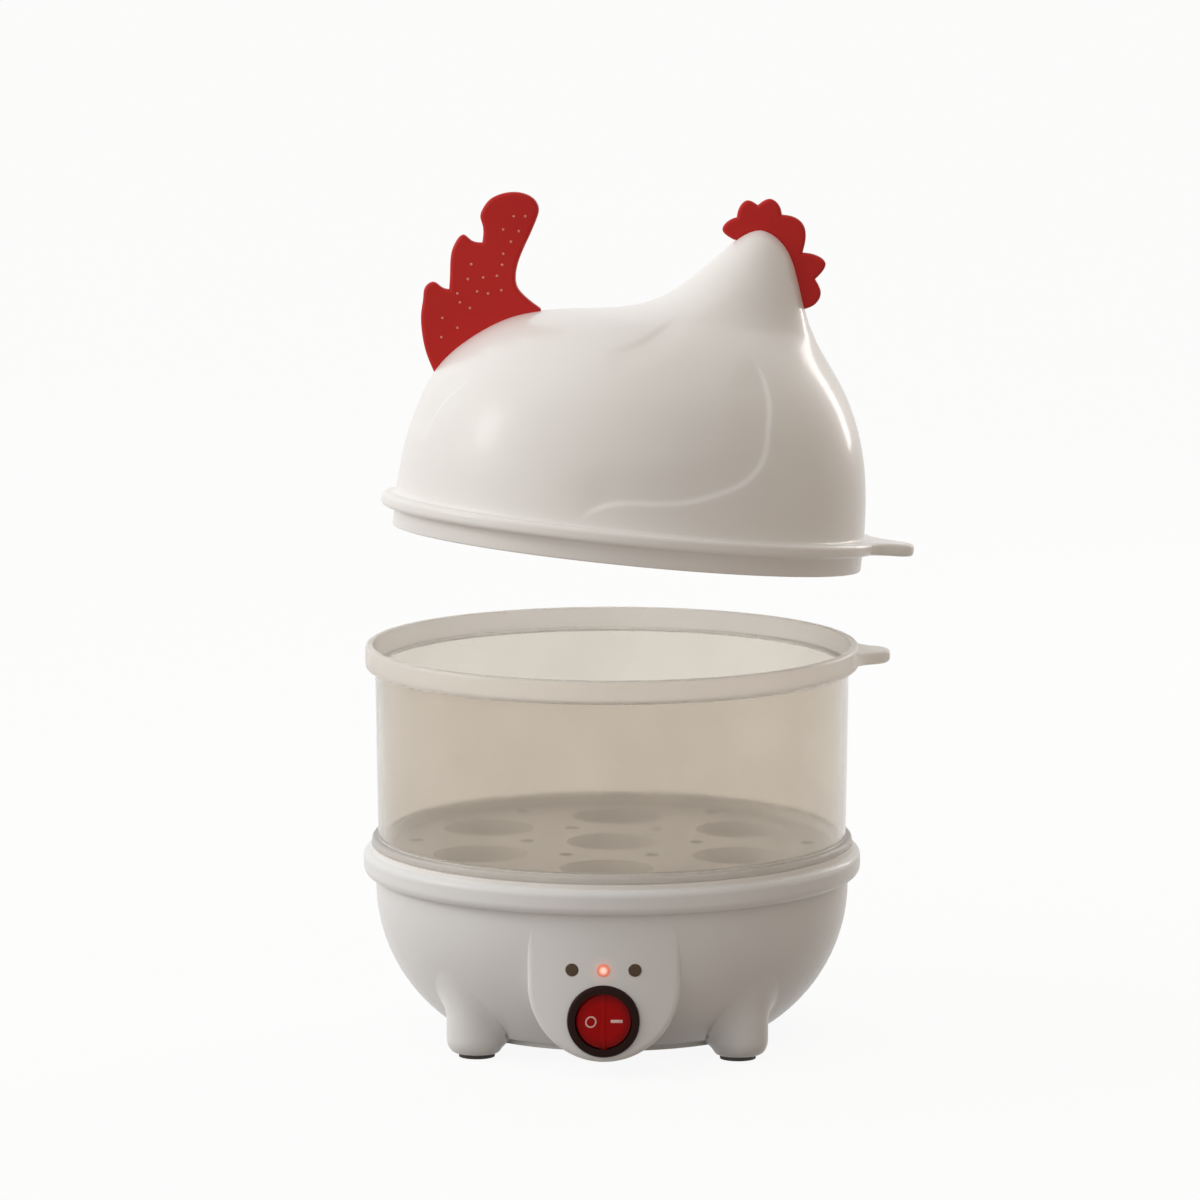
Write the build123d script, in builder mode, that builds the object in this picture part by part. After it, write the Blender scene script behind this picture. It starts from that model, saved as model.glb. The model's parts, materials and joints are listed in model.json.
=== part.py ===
from build123d import *

import os
from math import cos, degrees, radians, sin, sqrt, tan

# Electric egg cooker with a hen-shaped lid, in millimetres.
# The vessel axis is Z and the counter is Z = 0. The switch faces -Y and the hen looks along +X.

# Fits
fit_gap = 0.3            # between pieces that are pushed or dropped together
lift_gap = 0.5           # around pieces that lift off by hand
skirt_gap = 1.2          # around the lid's skirt, which tilts as it lifts
pin_gap = 0.15           # around the rocker's pins
thread_gap = 0.05        # around a screw in its pilot hole
overrun = 5.0            # how far a cutter passes the face that it cuts

# Housing
body_radius = 77.0       # straight upper wall, outside
belly_run = 22.7         # how far the round belly draws in, down to its lower edge
belly_height = 44.0
straight_height = 6.4    # straight wall above the belly
housing_bottom = 6.0
housing_wall = 2.4

# Tongue panel on the front of the housing
panel_drop = 0.8         # panel below the housing's lower edge
panel_margin = 2.0       # panel below the switch's bezel
panel_wall = 3.0
panel_edge_round = 2.2

# Feet
foot_count = 4
foot_clear = 1.25        # foot's tip outside the bottom cover
foot_top_radius = 10.4
foot_tip_radius = 6.7
foot_root_height = 25.0  # the foot's cone ends here, inside the belly
pad_height = 1.5
pad_radius = 5.8
pad_stem_radius = 2.0
pad_stem_length = 3.5

# Bottom cover
cover_wall = 2.2
cover_lap = 1.6          # how far the cover reaches under the housing's edge
cover_screw_count = 3
cover_boss_radius = 4.0
cover_boss_inset = 1.5   # boss axis inside the housing's lower opening
cover_boss_height = 14.0
vent_count = 5
vent_length = 26.0
vent_width = 3.0
vent_pitch = 7.0
vent_centre_y = -14.0

# Screws
screw_radius = 1.5
screw_head_radius = 2.6
screw_head_height = 1.9
screw_hole_gap = 0.3
cover_screw_length = 10.0
deck_screw_length = 13.0
crest_screw_length = 14.0
lamp_screw_radius = 1.0
lamp_screw_head_radius = 2.0
lamp_screw_head_height = 1.4
lamp_screw_length = 4.6

# Collar ring that closes the housing
collar_overhang = 4.0
collar_rise = 5.0        # above the housing's wall
collar_lap = 3.4         # down over the housing's wall
collar_top_round = 2.4
collar_bottom_land = 0.6 # flat left beside the lower round
collar_lap_gap = 0.4
deck_wall = 2.4
deck_step = 3.0          # the pan's seat lies this far below the collar's top
land_inset = 3.0         # inner edge of the collar's land, inside the housing's outer wall
spigot_wall = 2.0
spigot_depth = 6.4
deck_screw_count = 4
deck_boss_radius = 3.2
deck_boss_length = 12.0
lug_height = 4.0
lug_width = 9.0
lug_inner_reach = 4.2    # lug inside the boss axis

# Heating pan and what is under it
pan_gap = 0.7            # pan wall to the deck's screw bosses
pan_wall = 0.8
pan_depth = 13.6
pan_flange_width = 4.6
pan_corner = 6.0
pan_stud_radius = 2.0
pan_stud_length = 12.0
pan_stud_place = 24.0
earth_tab_gap = 2.54     # earth tab inside the element
earth_tab_width = 6.0
earth_tab_length = 8.0
earth_tab_wall = 0.8
seal_wall = 1.2
seal_width = 2.2
seal_gap = 0.6           # seal outside the deck's opening
element_clear = 5.0      # element outside the pan's studs
element_width = 8.0
element_height = 6.0
element_round = 2.0
element_gap_angle = 30.0
element_pin_radius = 1.6
element_pin_length = 8.0
bracket_over = 6.0       # bar past the element
bracket_width = 12.0
bracket_wall = 1.2
nut_flats = 7.0
nut_height = 3.2
thermostat_radius = 9.0
blade_width = 4.8
blade_wall = 0.8
thermostat_blade_length = 5.0
fuse_gap = 3.5           # fuse beside the thermostat
fuse_width = 4.0
fuse_length = 10.0
fuse_round = 1.0

# Egg rack
rack_wall = 1.6
rack_flange_reach = 1.6  # flange outside the housing's outer wall
rack_ring_depth = 1.4
rack_lip_height = 3.0
seat_clear = 0.8         # seats inside the pan's wall
seat_count = 6
seat_first_angle = 30.0
seat_radius = 15.0
seat_tip_radius = 12.0
seat_depth = 6.0
steam_hole_radius = 2.5
steam_outset = 16.0      # outer steam holes outside the seats' circle

# Steamer bowl
bowl_inset = 0.8         # bowl wall inside the housing's outer wall, at the foot
bowl_flare = 1.0
bowl_wall = 2.0
bowl_height = 65.5
bead_reach = 2.0
bead_height = 2.6
bead_round = 1.0
rim_reach = 3.0
rim_ledge_wall = 0.8     # rim under the ledge for the lid's skirt
rim_wall = 2.6
rim_round = 1.3
tab_width = 44.0
tab_tip_width = 16.0
tab_wall = 4.0
tab_tip_round = 5.0
tab_root_sink = 0.4      # tab's root inside the ring it grows from
tab_edge_round = 1.2
bowl_tab_reach = 10.2
bowl_tab_drop = 1.6

# Lid
lid_shown_lift = 37.2    # the lid is shown held this far above its seat,
lid_shown_tilt = 6.77    # tilted by these degrees about a level axis,
lid_axis_bearing = 124.2 # which lies at this angle from +X,
lid_shown_shift = 6.6    # and moved this far towards that axis
lid_wall = 2.0
skirt_depth = 6.3
skirt_wall = 2.8
skirt_step = 0.2         # dome outside the skirt
flange_wall = 4.4
flange_reach = 0.7
flange_round = 1.6
hen_height = 99.2        # head top above the middle of the flange
lid_tab_reach = 12.0
crest_boss_radius = 3.4
crest_boss_depth = 9.0   # boss below the hen's outer skin, along its axis

# Horizontal slices of the hen: height, rear edge, front edge, centre, half width.
# Heights are shares of hen_height, the rest shares of the dome's radius.
hen_shares = (
    (0.000, -1.000, 1.000, 0.000, 1.000),
    (0.121, -0.992, 0.992, 0.000, 0.992),
    (0.242, -0.967, 0.973, 0.000, 0.969),
    (0.343, -0.931, 0.940, 0.000, 0.932),
    (0.433, -0.883, 0.894, 0.000, 0.879),
    (0.524, -0.783, 0.826, 0.000, 0.777),
    (0.600, -0.653, 0.753, 0.000, 0.653),
    (0.645, -0.538, 0.713, 0.026, 0.540),
    (0.677, -0.281, 0.692, 0.130, 0.432),
    (0.698, -0.091, 0.675, 0.228, 0.378),
    (0.728, 0.016, 0.659, 0.287, 0.326),
    (0.768, 0.095, 0.640, 0.339, 0.283),
    (0.817, 0.159, 0.620, 0.379, 0.240),
    (0.865, 0.225, 0.598, 0.405, 0.197),
    (0.919, 0.289, 0.572, 0.424, 0.152),
    (0.958, 0.333, 0.539, 0.435, 0.116),
    (0.988, 0.377, 0.487, 0.435, 0.065),
)

# Tail plate: length, height, rear end and lowest point as shares of the hen's radius and height,
# then one run of points per feather, as shares of the tail's length and height.
tail_length_share = 0.5013
tail_height_share = 0.6048
tail_wall = 5.6
tail_rear_share = -0.965
tail_foot_share = 0.424
tail_feather_shares = (
    ((0.156, 0.000), (0.073, 0.102), (0.023, 0.205), (0.000, 0.320), (0.005, 0.390),
     (0.018, 0.457), (0.076, 0.482), (0.154, 0.457), (0.216, 0.450)),
    ((0.216, 0.450), (0.211, 0.528), (0.203, 0.633), (0.224, 0.698), (0.292, 0.752),
     (0.357, 0.727), (0.456, 0.720)),
    ((0.456, 0.720), (0.443, 0.815), (0.417, 0.862), (0.430, 0.900), (0.487, 0.958),
     (0.544, 0.983), (0.799, 1.000), (0.862, 0.977), (0.901, 0.935), (0.893, 0.882),
     (0.8125, 0.722), (0.763, 0.573), (0.784, 0.505), (0.854, 0.457), (1.000, 0.398)),
)
tail_root_shares = ((0.935, 0.265), (0.362, -0.068))
tail_screw_shares = (0.65, 0.36)

# Comb plate, in the same way.
comb_length_share = 0.4491
comb_height_share = 0.3448
comb_wall = 5.0
comb_rear_share = 0.268
comb_foot_share = 0.751
comb_lobe_shares = (
    ((0.116, 0.582), (0.000, 0.673), (0.067, 0.769), (0.122, 0.795)),
    ((0.122, 0.795), (0.140, 0.895), (0.198, 0.962), (0.308, 0.930)),
    ((0.308, 0.930), (0.422, 1.000), (0.515, 0.939), (0.544, 0.863)),
    ((0.544, 0.863), (0.640, 0.857), (0.759, 0.781), (0.785, 0.705), (0.773, 0.526)),
    ((0.773, 0.526), (0.878, 0.520), (1.000, 0.439), (0.977, 0.368), (0.916, 0.289)),
    ((0.916, 0.289), (0.983, 0.146), (0.924, 0.038), (0.855, 0.000)),
)
comb_root_shares = ((0.567, 0.161), (0.363, 0.512))
comb_screw_share = 0.363

# Switch
bezel_lip = 1.6          # bezel outside the barrel
bezel_wall = 2.2
bezel_round = 0.8
bezel_sink = 1.0         # the bezel's seat below the panel's face
barrel_skin = 0.25       # barrel outside the rocker's pins
barrel_depth = 16.0
barrel_gap = 0.2
rocker_radius = 8.7
rocker_gap = 0.35
rocker_back = 6.0        # flat back of the rocker behind its pins
rocker_pivot_depth = 2.5 # pins behind the bezel's front
rocker_valley = 0.8      # the rocker's faces meet this far in front of the pins
rocker_swing = 20.0      # degrees between on and off
rocker_pin_radius = 1.2
rocker_pin_reach = 0.6   # pins past the rocker's pocket
mark_depth = 0.3
mark_place = 4.2
mark_size = 1.9
mark_line = 0.5
terminal_side = 5.0
terminal_drop = 2.0
terminal_rise = 5.0
terminal_length = 8.0

# Lamps
lamp_rise = 5.0          # lamps above the bezel
lamp_pitch = 10.0
lamp_radius = 2.0
lamp_gap = 0.1
lamp_proud = 0.3
lamp_flange_radius = 3.0
lamp_flange_wall = 2.6
holder_end = 3.5         # holder past its posts
holder_side_gap = 1.9    # holder inside the panel's side walls
holder_height = 8.0
holder_wall = 3.0
holder_round = 2.0
holder_post_gap = 0.9    # posts beside the lamps' flanges
holder_post_radius = 2.6
neon_radius = 2.2
neon_gap = 0.2
neon_length = 10.0

# Cord gland
gland_clear = 2.8        # gland's flange below the collar's spigot
gland_pad_radius = 8.0
gland_pad_proud = 1.0    # pad outside the housing's wall
gland_flange_radius = 7.2
gland_flange_wall = 2.0
gland_neck_radius = 5.0
gland_lip_radius = 6.2
gland_lip_wall = 2.0
gland_bore = 3.3

# Terminal block
block_end = 5.0          # block past its outer screws
block_width = 14.0
block_height = 12.0
block_centre_y = 22.0
block_pitch = 8.0
block_screw_radius = 1.8
block_screw_depth = 3.0
block_screw_proud = 0.8

# Leads
lead_radius = 1.2
lead_bend = 4.0
lead_stub = 6.0

# Heights, radii and places that several pieces share
base_radius = body_radius - belly_run
arc_top = housing_bottom + belly_height
housing_top = arc_top + straight_height
collar_top = housing_top + collar_rise
collar_bottom = housing_top - collar_lap
collar_bottom_round = collar_overhang - collar_lap_gap - collar_bottom_land
collar_radius = body_radius + collar_overhang
land_radius = body_radius - land_inset
deck_face = collar_top - deck_step
deck_under = deck_face - deck_wall
boss_foot = deck_under - deck_boss_length
spigot_radius = body_radius - housing_wall - fit_gap
deck_boss_circle = spigot_radius - spigot_wall / 2 - deck_boss_radius
pan_radius = deck_boss_circle - deck_boss_radius - pan_gap
deck_opening = pan_radius + pan_gap + pan_wall
pan_flange_under = deck_face + seal_wall
pan_under = pan_flange_under - pan_depth
bracket_top = pan_under - element_height
element_circle = pan_stud_place + pan_stud_radius + element_clear + element_width / 2
bracket_length = 2 * (element_circle + element_width / 2 + bracket_over)
earth_tab_place = (element_circle - element_width / 2 - earth_tab_gap - earth_tab_width / 2) / sqrt(2)
fuse_place = thermostat_radius + fuse_gap + fuse_width / 2
cover_under = housing_bottom - cover_wall
seat_circle = pan_radius - pan_wall - seat_clear - rack_wall - seat_radius
steam_inner_circle = seat_circle / sqrt(3)
steam_outer_circle = seat_circle + steam_outset
rack_under = collar_top
rack_face = rack_under + rack_wall
bowl_foot_radius = body_radius - bowl_inset
bowl_top_radius = bowl_foot_radius + bowl_flare
bowl_top = rack_face + bowl_height
rim_height = skirt_depth + lift_gap + rim_ledge_wall
rim_radius = bowl_top_radius + rim_reach
rim_inner_radius = rim_radius - rim_wall
skirt_radius = rim_inner_radius - skirt_gap
dome_radius = skirt_radius + skirt_step
flange_radius = rim_radius + flange_reach
lid_middle = bowl_top + flange_wall / 2 + lid_shown_lift
pocket_radius = rocker_radius + rocker_gap
pin_end = pocket_radius + rocker_pin_reach
barrel_radius = pin_end + barrel_skin
bezel_radius = barrel_radius + bezel_lip
panel_bottom = housing_bottom - panel_drop
switch_height = panel_bottom + panel_margin + bezel_radius
lamp_height = switch_height + bezel_radius + lamp_rise
holder_post_place = lamp_pitch + lamp_flange_radius + holder_post_gap + holder_post_radius
holder_length = 2 * (holder_post_place + holder_end)
panel_width = holder_length + 2 * (holder_side_gap + housing_wall)
panel_back = body_radius - panel_wall
bezel_back = body_radius - bezel_sink
bezel_front = bezel_back + bezel_wall
barrel_back = bezel_back - barrel_depth
pivot_y = -(bezel_front - rocker_pivot_depth)
blade_end = barrel_back - terminal_length
gland_height = housing_top - spigot_depth - gland_flange_radius - gland_clear
gland_pad_face = body_radius + gland_pad_proud
block_length = 2 * (block_pitch + block_end)

# The lid's own planes: through the middle of its flange, and upright along the hen
bearing = radians(lid_axis_bearing)
tilt_axis = Axis((0, 0, 0), (cos(bearing), sin(bearing), 0))
lid_plane = Plane(
    origin=(lid_shown_shift * sin(bearing), -lid_shown_shift * cos(bearing), lid_middle),
    x_dir=Vector(1, 0, 0).rotate(tilt_axis, lid_shown_tilt),
    z_dir=Vector(0, 0, 1).rotate(tilt_axis, lid_shown_tilt),
)
lid_side_plane = Plane(origin=lid_plane.origin, x_dir=lid_plane.x_dir, z_dir=-lid_plane.y_dir)
lid_axis = Axis(lid_plane.origin, lid_plane.z_dir)


def belly_radius(height, skin):
    """Radius of the round housing at a height, a skin's thickness inside its outer face."""
    if height >= arc_top:
        return body_radius - skin
    run = body_radius - base_radius
    drop = arc_top - housing_bottom
    arc = (run ** 2 + drop ** 2) / (2 * run)
    return body_radius - arc + sqrt((arc - skin) ** 2 - (arc_top - height) ** 2)


def radial_plane(angle):
    """Upright plane through the axis, with its x pointing outwards at an angle."""
    turn = radians(angle)
    return Plane(origin=(0, 0, 0), x_dir=(cos(turn), sin(turn), 0), z_dir=(sin(turn), -cos(turn), 0))


def front_plane(distance, height):
    """Plane that faces -Y, at a distance in front of the axis and a height."""
    return Plane(origin=(0, -distance, height), x_dir=(1, 0, 0), z_dir=(0, -1, 0))


def belly_solid(skin, top, bottom):
    """Solid of the housing's round form, a skin inside its outer face."""
    middle = (arc_top + housing_bottom) / 2
    edge = belly_radius(housing_bottom, skin)
    with BuildPart() as belly:
        with BuildSketch(Plane.XZ):
            with BuildLine():
                ThreePointArc(
                    (edge, housing_bottom),
                    (belly_radius(middle, skin), middle),
                    (body_radius - skin, arc_top),
                )
                Polyline(
                    (body_radius - skin, arc_top),
                    (body_radius - skin, top),
                    (0, top),
                    (0, bottom),
                    (edge, bottom),
                )
                if bottom < housing_bottom:
                    Line((edge, bottom), (edge, housing_bottom))
            make_face()
        revolve(axis=Axis.Z)
    return belly.part


def tongue_solid(skin, depth):
    """Solid of the tongue panel, a skin inside its outline and a depth inside its face."""
    half = panel_width / 2 - skin
    centre = panel_bottom + panel_width / 2
    with BuildPart() as tongue:
        with BuildSketch(front_plane(panel_root, centre)):
            Circle(half)
            Rectangle(2 * half, arc_top - centre, align=(Align.CENTER, Align.MIN))
        extrude(amount=body_radius)
        with BuildSketch(Plane.XY):
            Circle(body_radius - depth)
        extrude(amount=housing_top, mode=Mode.INTERSECT)
    return tongue


def screw_shape(plane, places, shaft_radius, shaft_length, head_radius, head_height):
    """Screws at places on a plane: each head stands on the plane, its shaft runs under it."""
    with BuildPart() as screws:
        with BuildSketch(plane):
            with Locations(*places):
                Circle(head_radius)
        extrude(amount=head_height)
        with BuildSketch(plane):
            with Locations(*places):
                Circle(shaft_radius)
        extrude(amount=-shaft_length)
        with BuildSketch(plane.offset(head_height)):
            with Locations(*places):
                Rectangle(head_radius, shaft_radius / 2)
                Rectangle(shaft_radius / 2, head_radius)
        extrude(amount=-head_height / 2, mode=Mode.SUBTRACT)
    return screws


def finger_tab(plane, ring_radius, reach):
    """Finger tab that flows out of a ring's edge, on a plane, and points along the plane's x."""
    half = tab_width / 2
    tip = tab_tip_width / 2
    root = ring_radius - tab_root_sink
    start = sqrt(root ** 2 - half ** 2)
    shoulder = reach - tab_tip_round
    lean = (tip ** 2 + tab_tip_round ** 2) / (2 * tab_tip_round) - tab_tip_round
    with BuildPart() as tab:
        with BuildSketch(plane):
            with BuildLine():
                ThreePointArc((start, half), (root, 0), (start, -half))
                Spline((start, -half), (shoulder, -tip), tangents=((half, start), (tip, lean)))
                ThreePointArc((shoulder, -tip), (reach, 0), (shoulder, tip))
                Spline((shoulder, tip), (start, half), tangents=((-tip, lean), (-half, start)))
            make_face()
        extrude(amount=tab_wall)
        top_edges = tab.faces().sort_by(Axis(plane.origin, plane.z_dir))[-1].edges()
        sides = top_edges.filter_by(GeomType.BSPLINE)
        arcs = top_edges.filter_by(GeomType.CIRCLE).sort_by(Axis(plane.origin, plane.x_dir))
        fillet(sides + arcs[-1:], tab_edge_round)
    return tab


def polar_places(radius, count, first_angle):
    """Places evenly spaced on a circle."""
    angles = [radians(first_angle + 360 * number / count) for number in range(count)]
    return [(radius * cos(angle), radius * sin(angle)) for angle in angles]


def export_piece(piece, label):
    """Label one piece and write it."""
    piece.part.label = label
    export_step(piece.part, f"parts/{label}.step")


def hen_solid(skin):
    """Solid of the hen's body from its slices, on the middle of the flange, a skin inside its outer face."""
    with BuildPart() as hen:
        for height, rear, front, centre, half in hen_shares:
            level = height * (hen_height - skin)
            middle = centre * dome_radius
            side = half * dome_radius - skin
            with BuildSketch(lid_plane.offset(level)):
                with BuildLine():
                    EllipticalCenterArc(
                        (middle, 0), (front - centre) * dome_radius - skin, side,
                        start_angle=-90, arc_size=180,
                    )
                    EllipticalCenterArc(
                        (middle, 0), (centre - rear) * dome_radius - skin, side,
                        start_angle=90, arc_size=180,
                    )
                make_face()
        loft()
    return hen.part


def back_height(place):
    """Height of the hen's back above the middle of the flange, at a place along X."""
    below = hen_shares[0]
    for above in hen_shares[1:]:
        if below[1] * dome_radius <= place <= above[1] * dome_radius:
            rise = (place / dome_radius - below[1]) / (above[1] - below[1])
            return (below[0] + rise * (above[0] - below[0])) * hen_height
        below = above
    return below[0] * hen_height


def crest_plate(runs, root, rear, foot, length, height, wall):
    """Upright plate along the hen from runs of points given as shares of its length and height."""
    def place(share):
        return (rear + share[0] * length, foot + share[1] * height)

    with BuildPart() as plate:
        with BuildSketch(lid_side_plane):
            with BuildLine():
                for run in runs:
                    Spline(*[place(share) for share in run])
                Polyline(place(runs[-1][-1]), *[place(share) for share in root], place(runs[0][0]))
            make_face()
        extrude(amount=wall / 2, both=True)
    return plate


def lead(points, label):
    """One insulated lead along a route with rounded corners."""
    with BuildPart() as tube:
        with BuildLine() as route:
            FilletPolyline(*points, radius=lead_bend)
        with BuildSketch(Plane(origin=route.line @ 0, z_dir=route.line % 0)):
            Circle(lead_radius)
        sweep()
    export_piece(tube, label)


os.makedirs("parts", exist_ok=True)

# Places that several pieces share
cover_opening = belly_radius(housing_bottom, housing_wall)
cover_radius = cover_opening + cover_lap
foot_circle = cover_radius + foot_clear + foot_tip_radius
foot_places = polar_places(foot_circle, foot_count, 180 / foot_count)
panel_root = cover_radius + lift_gap
cover_screw_places = polar_places(cover_opening - cover_boss_inset, cover_screw_count, 90)
deck_screw_angles = [180 / deck_screw_count + 360 * number / deck_screw_count
                     for number in range(deck_screw_count)]
deck_screw_places = polar_places(deck_boss_circle, deck_screw_count, 180 / deck_screw_count)
lamp_places = (-lamp_pitch, 0, lamp_pitch)
post_places = ((-holder_post_place, 0), (holder_post_place, 0))
lamp_shoulder = sqrt(panel_back ** 2 - (lamp_pitch + lamp_flange_radius) ** 2) - fit_gap
holder_front = lamp_shoulder - lamp_flange_wall
holder_back = holder_front - holder_wall
gland_lip_face = sqrt(belly_radius(gland_height - gland_lip_radius, housing_wall) ** 2
                      - gland_lip_radius ** 2) - fit_gap
switch_plane = front_plane(bezel_front, switch_height)
lamp_plane = front_plane(holder_front, lamp_height)
stud_places = ((-pan_stud_place, 0), (pan_stud_place, 0))

# Housing: round belly, tongue panel, feet, gland pad, screw lugs and bosses
front_tongue = tongue_solid(0, 0)
with front_tongue:
    tongue_face = front_tongue.faces().filter_by(GeomType.CYLINDER).sort_by(SortBy.RADIUS)[-1]
    fillet(tongue_face.edges().sort_by(Axis.Z)[:-1], panel_edge_round)

with BuildPart() as base_housing:
    add(belly_solid(0, housing_top, housing_bottom))
    add(front_tongue.part)
    with Locations(*[(x, y, pad_height) for x, y in foot_places]):
        Cone(foot_tip_radius, foot_top_radius, foot_root_height - pad_height,
             align=(Align.CENTER, Align.CENTER, Align.MIN))
    with BuildSketch(front_plane(0, gland_height)):
        Circle(gland_pad_radius)
    extrude(amount=-gland_pad_face)
    add(belly_solid(housing_wall, housing_top + overrun, housing_bottom - overrun), mode=Mode.SUBTRACT)
    add(tongue_solid(housing_wall, panel_wall).part, mode=Mode.SUBTRACT)
    with BuildSketch(Plane.XY.offset(housing_bottom)):
        with Locations(*cover_screw_places):
            Circle(cover_boss_radius)
    extrude(amount=cover_boss_height)
    lug_outer = belly_radius(boss_foot - lug_height, housing_wall / 2)
    lug_inner = deck_boss_circle - lug_inner_reach
    for angle in deck_screw_angles:
        with BuildSketch(radial_plane(angle)):
            with Locations(((lug_inner + lug_outer) / 2, boss_foot)):
                Rectangle(lug_outer - lug_inner, lug_height, align=(Align.CENTER, Align.MAX))
        extrude(amount=lug_width / 2, both=True)
    with BuildSketch(lamp_plane):
        with Locations(*post_places):
            Circle(holder_post_radius)
    extrude(amount=panel_back - holder_front)
    with BuildSketch(lamp_plane):
        with Locations(*post_places):
            Circle(lamp_screw_radius + thread_gap)
    extrude(amount=lamp_screw_length - holder_wall + fit_gap, mode=Mode.SUBTRACT)
    with BuildSketch(switch_plane):
        Circle(bezel_radius + barrel_gap)
    extrude(amount=-bezel_wall, mode=Mode.SUBTRACT)
    with BuildSketch(switch_plane):
        Circle(barrel_radius + barrel_gap)
    extrude(amount=-(bezel_front - panel_back + overrun), mode=Mode.SUBTRACT)
    with BuildSketch(front_plane(body_radius + overrun, lamp_height)):
        with Locations(*[(x, 0) for x in lamp_places]):
            Circle(lamp_radius + lamp_gap)
    extrude(amount=-(body_radius + overrun - holder_front), mode=Mode.SUBTRACT)
    with BuildSketch(front_plane(0, gland_height)):
        Circle(gland_neck_radius + fit_gap)
    extrude(amount=-(gland_pad_face + overrun), mode=Mode.SUBTRACT)
    with BuildSketch(Plane.XY.offset(housing_bottom)):
        with Locations(*cover_screw_places):
            Circle(screw_radius + thread_gap)
    extrude(amount=cover_screw_length, mode=Mode.SUBTRACT)
    with BuildSketch(Plane.XY.offset(boss_foot - lug_height)):
        with Locations(*deck_screw_places):
            Circle(screw_radius + screw_hole_gap)
    extrude(amount=lug_height, mode=Mode.SUBTRACT)
    with BuildSketch(Plane.XY.offset(pad_height)):
        with Locations(*foot_places):
            Circle(pad_stem_radius + fit_gap)
    extrude(amount=pad_stem_length + fit_gap, mode=Mode.SUBTRACT)
export_piece(base_housing, "base_housing")

# Rubber pads under the feet
for number, (x, y) in enumerate(foot_places, start=1):
    with BuildPart() as foot_pad:
        with BuildSketch():
            with Locations((x, y)):
                Circle(pad_radius)
        extrude(amount=pad_height)
        with BuildSketch():
            with Locations((x, y)):
                Circle(pad_stem_radius)
        extrude(amount=pad_height + pad_stem_length)
    export_piece(foot_pad, f"foot_pad_{number}")

# Bottom cover with vent slots, and its screws
with BuildPart() as bottom_cover:
    with BuildSketch(Plane.XY.offset(cover_under)):
        Circle(cover_radius)
        with Locations(*cover_screw_places):
            Circle(screw_radius + screw_hole_gap, mode=Mode.SUBTRACT)
        with Locations((0, vent_centre_y)):
            with GridLocations(vent_length, vent_pitch, 1, vent_count):
                SlotOverall(vent_length, vent_width, mode=Mode.SUBTRACT)
    extrude(amount=cover_wall)
export_piece(bottom_cover, "bottom_cover")

under_plane = Plane(origin=(0, 0, cover_under), x_dir=(1, 0, 0), z_dir=(0, 0, -1))
cover_screws = screw_shape(
    under_plane, [(x, -y) for x, y in cover_screw_places],
    screw_radius, cover_screw_length, screw_head_radius, screw_head_height,
)
export_piece(cover_screws, "cover_screws")

# Collar ring with the pan's seat, its spigot and its screw bosses
with BuildPart() as top_deck:
    with BuildSketch(Plane.XZ) as deck_section:
        with BuildLine():
            Polyline(
                (deck_opening, deck_under),
                (deck_opening, deck_face),
                (land_radius, deck_face),
                (land_radius, collar_top),
                (collar_radius, collar_top),
                (collar_radius, collar_bottom),
                (body_radius + collar_lap_gap, collar_bottom),
                (body_radius + collar_lap_gap, housing_top),
                (spigot_radius, housing_top),
                (spigot_radius, housing_top - spigot_depth),
                (spigot_radius - spigot_wall, housing_top - spigot_depth),
                (spigot_radius - spigot_wall, deck_under),
                close=True,
            )
        make_face()
        outer_corners = deck_section.vertices().group_by(Axis.X)[-1].sort_by(Axis.Y)
        fillet(outer_corners[0], collar_bottom_round)
        fillet(deck_section.vertices().group_by(Axis.X)[-1].sort_by(Axis.Y)[-1], collar_top_round)
    revolve(axis=Axis.Z)
    with BuildSketch(Plane.XY.offset(deck_under)):
        with Locations(*deck_screw_places):
            Circle(deck_boss_radius)
    extrude(amount=-deck_boss_length)
    with BuildSketch(Plane.XY.offset(boss_foot)):
        with Locations(*deck_screw_places):
            Circle(screw_radius + thread_gap)
    extrude(amount=deck_screw_length - lug_height + fit_gap, mode=Mode.SUBTRACT)
export_piece(top_deck, "top_deck")

lug_plane = Plane(origin=(0, 0, boss_foot - lug_height), x_dir=(1, 0, 0), z_dir=(0, 0, -1))
deck_screws = screw_shape(
    lug_plane, [(x, -y) for x, y in deck_screw_places],
    screw_radius, deck_screw_length, screw_head_radius, screw_head_height,
)
export_piece(deck_screws, "deck_screws")

# Silicone seal under the pan's flange
with BuildPart() as pan_seal:
    with BuildSketch(Plane.XY.offset(deck_face)):
        Circle(deck_opening + seal_gap + seal_width)
        Circle(deck_opening + seal_gap, mode=Mode.SUBTRACT)
    extrude(amount=seal_wall)
export_piece(pan_seal, "pan_seal")

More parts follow.
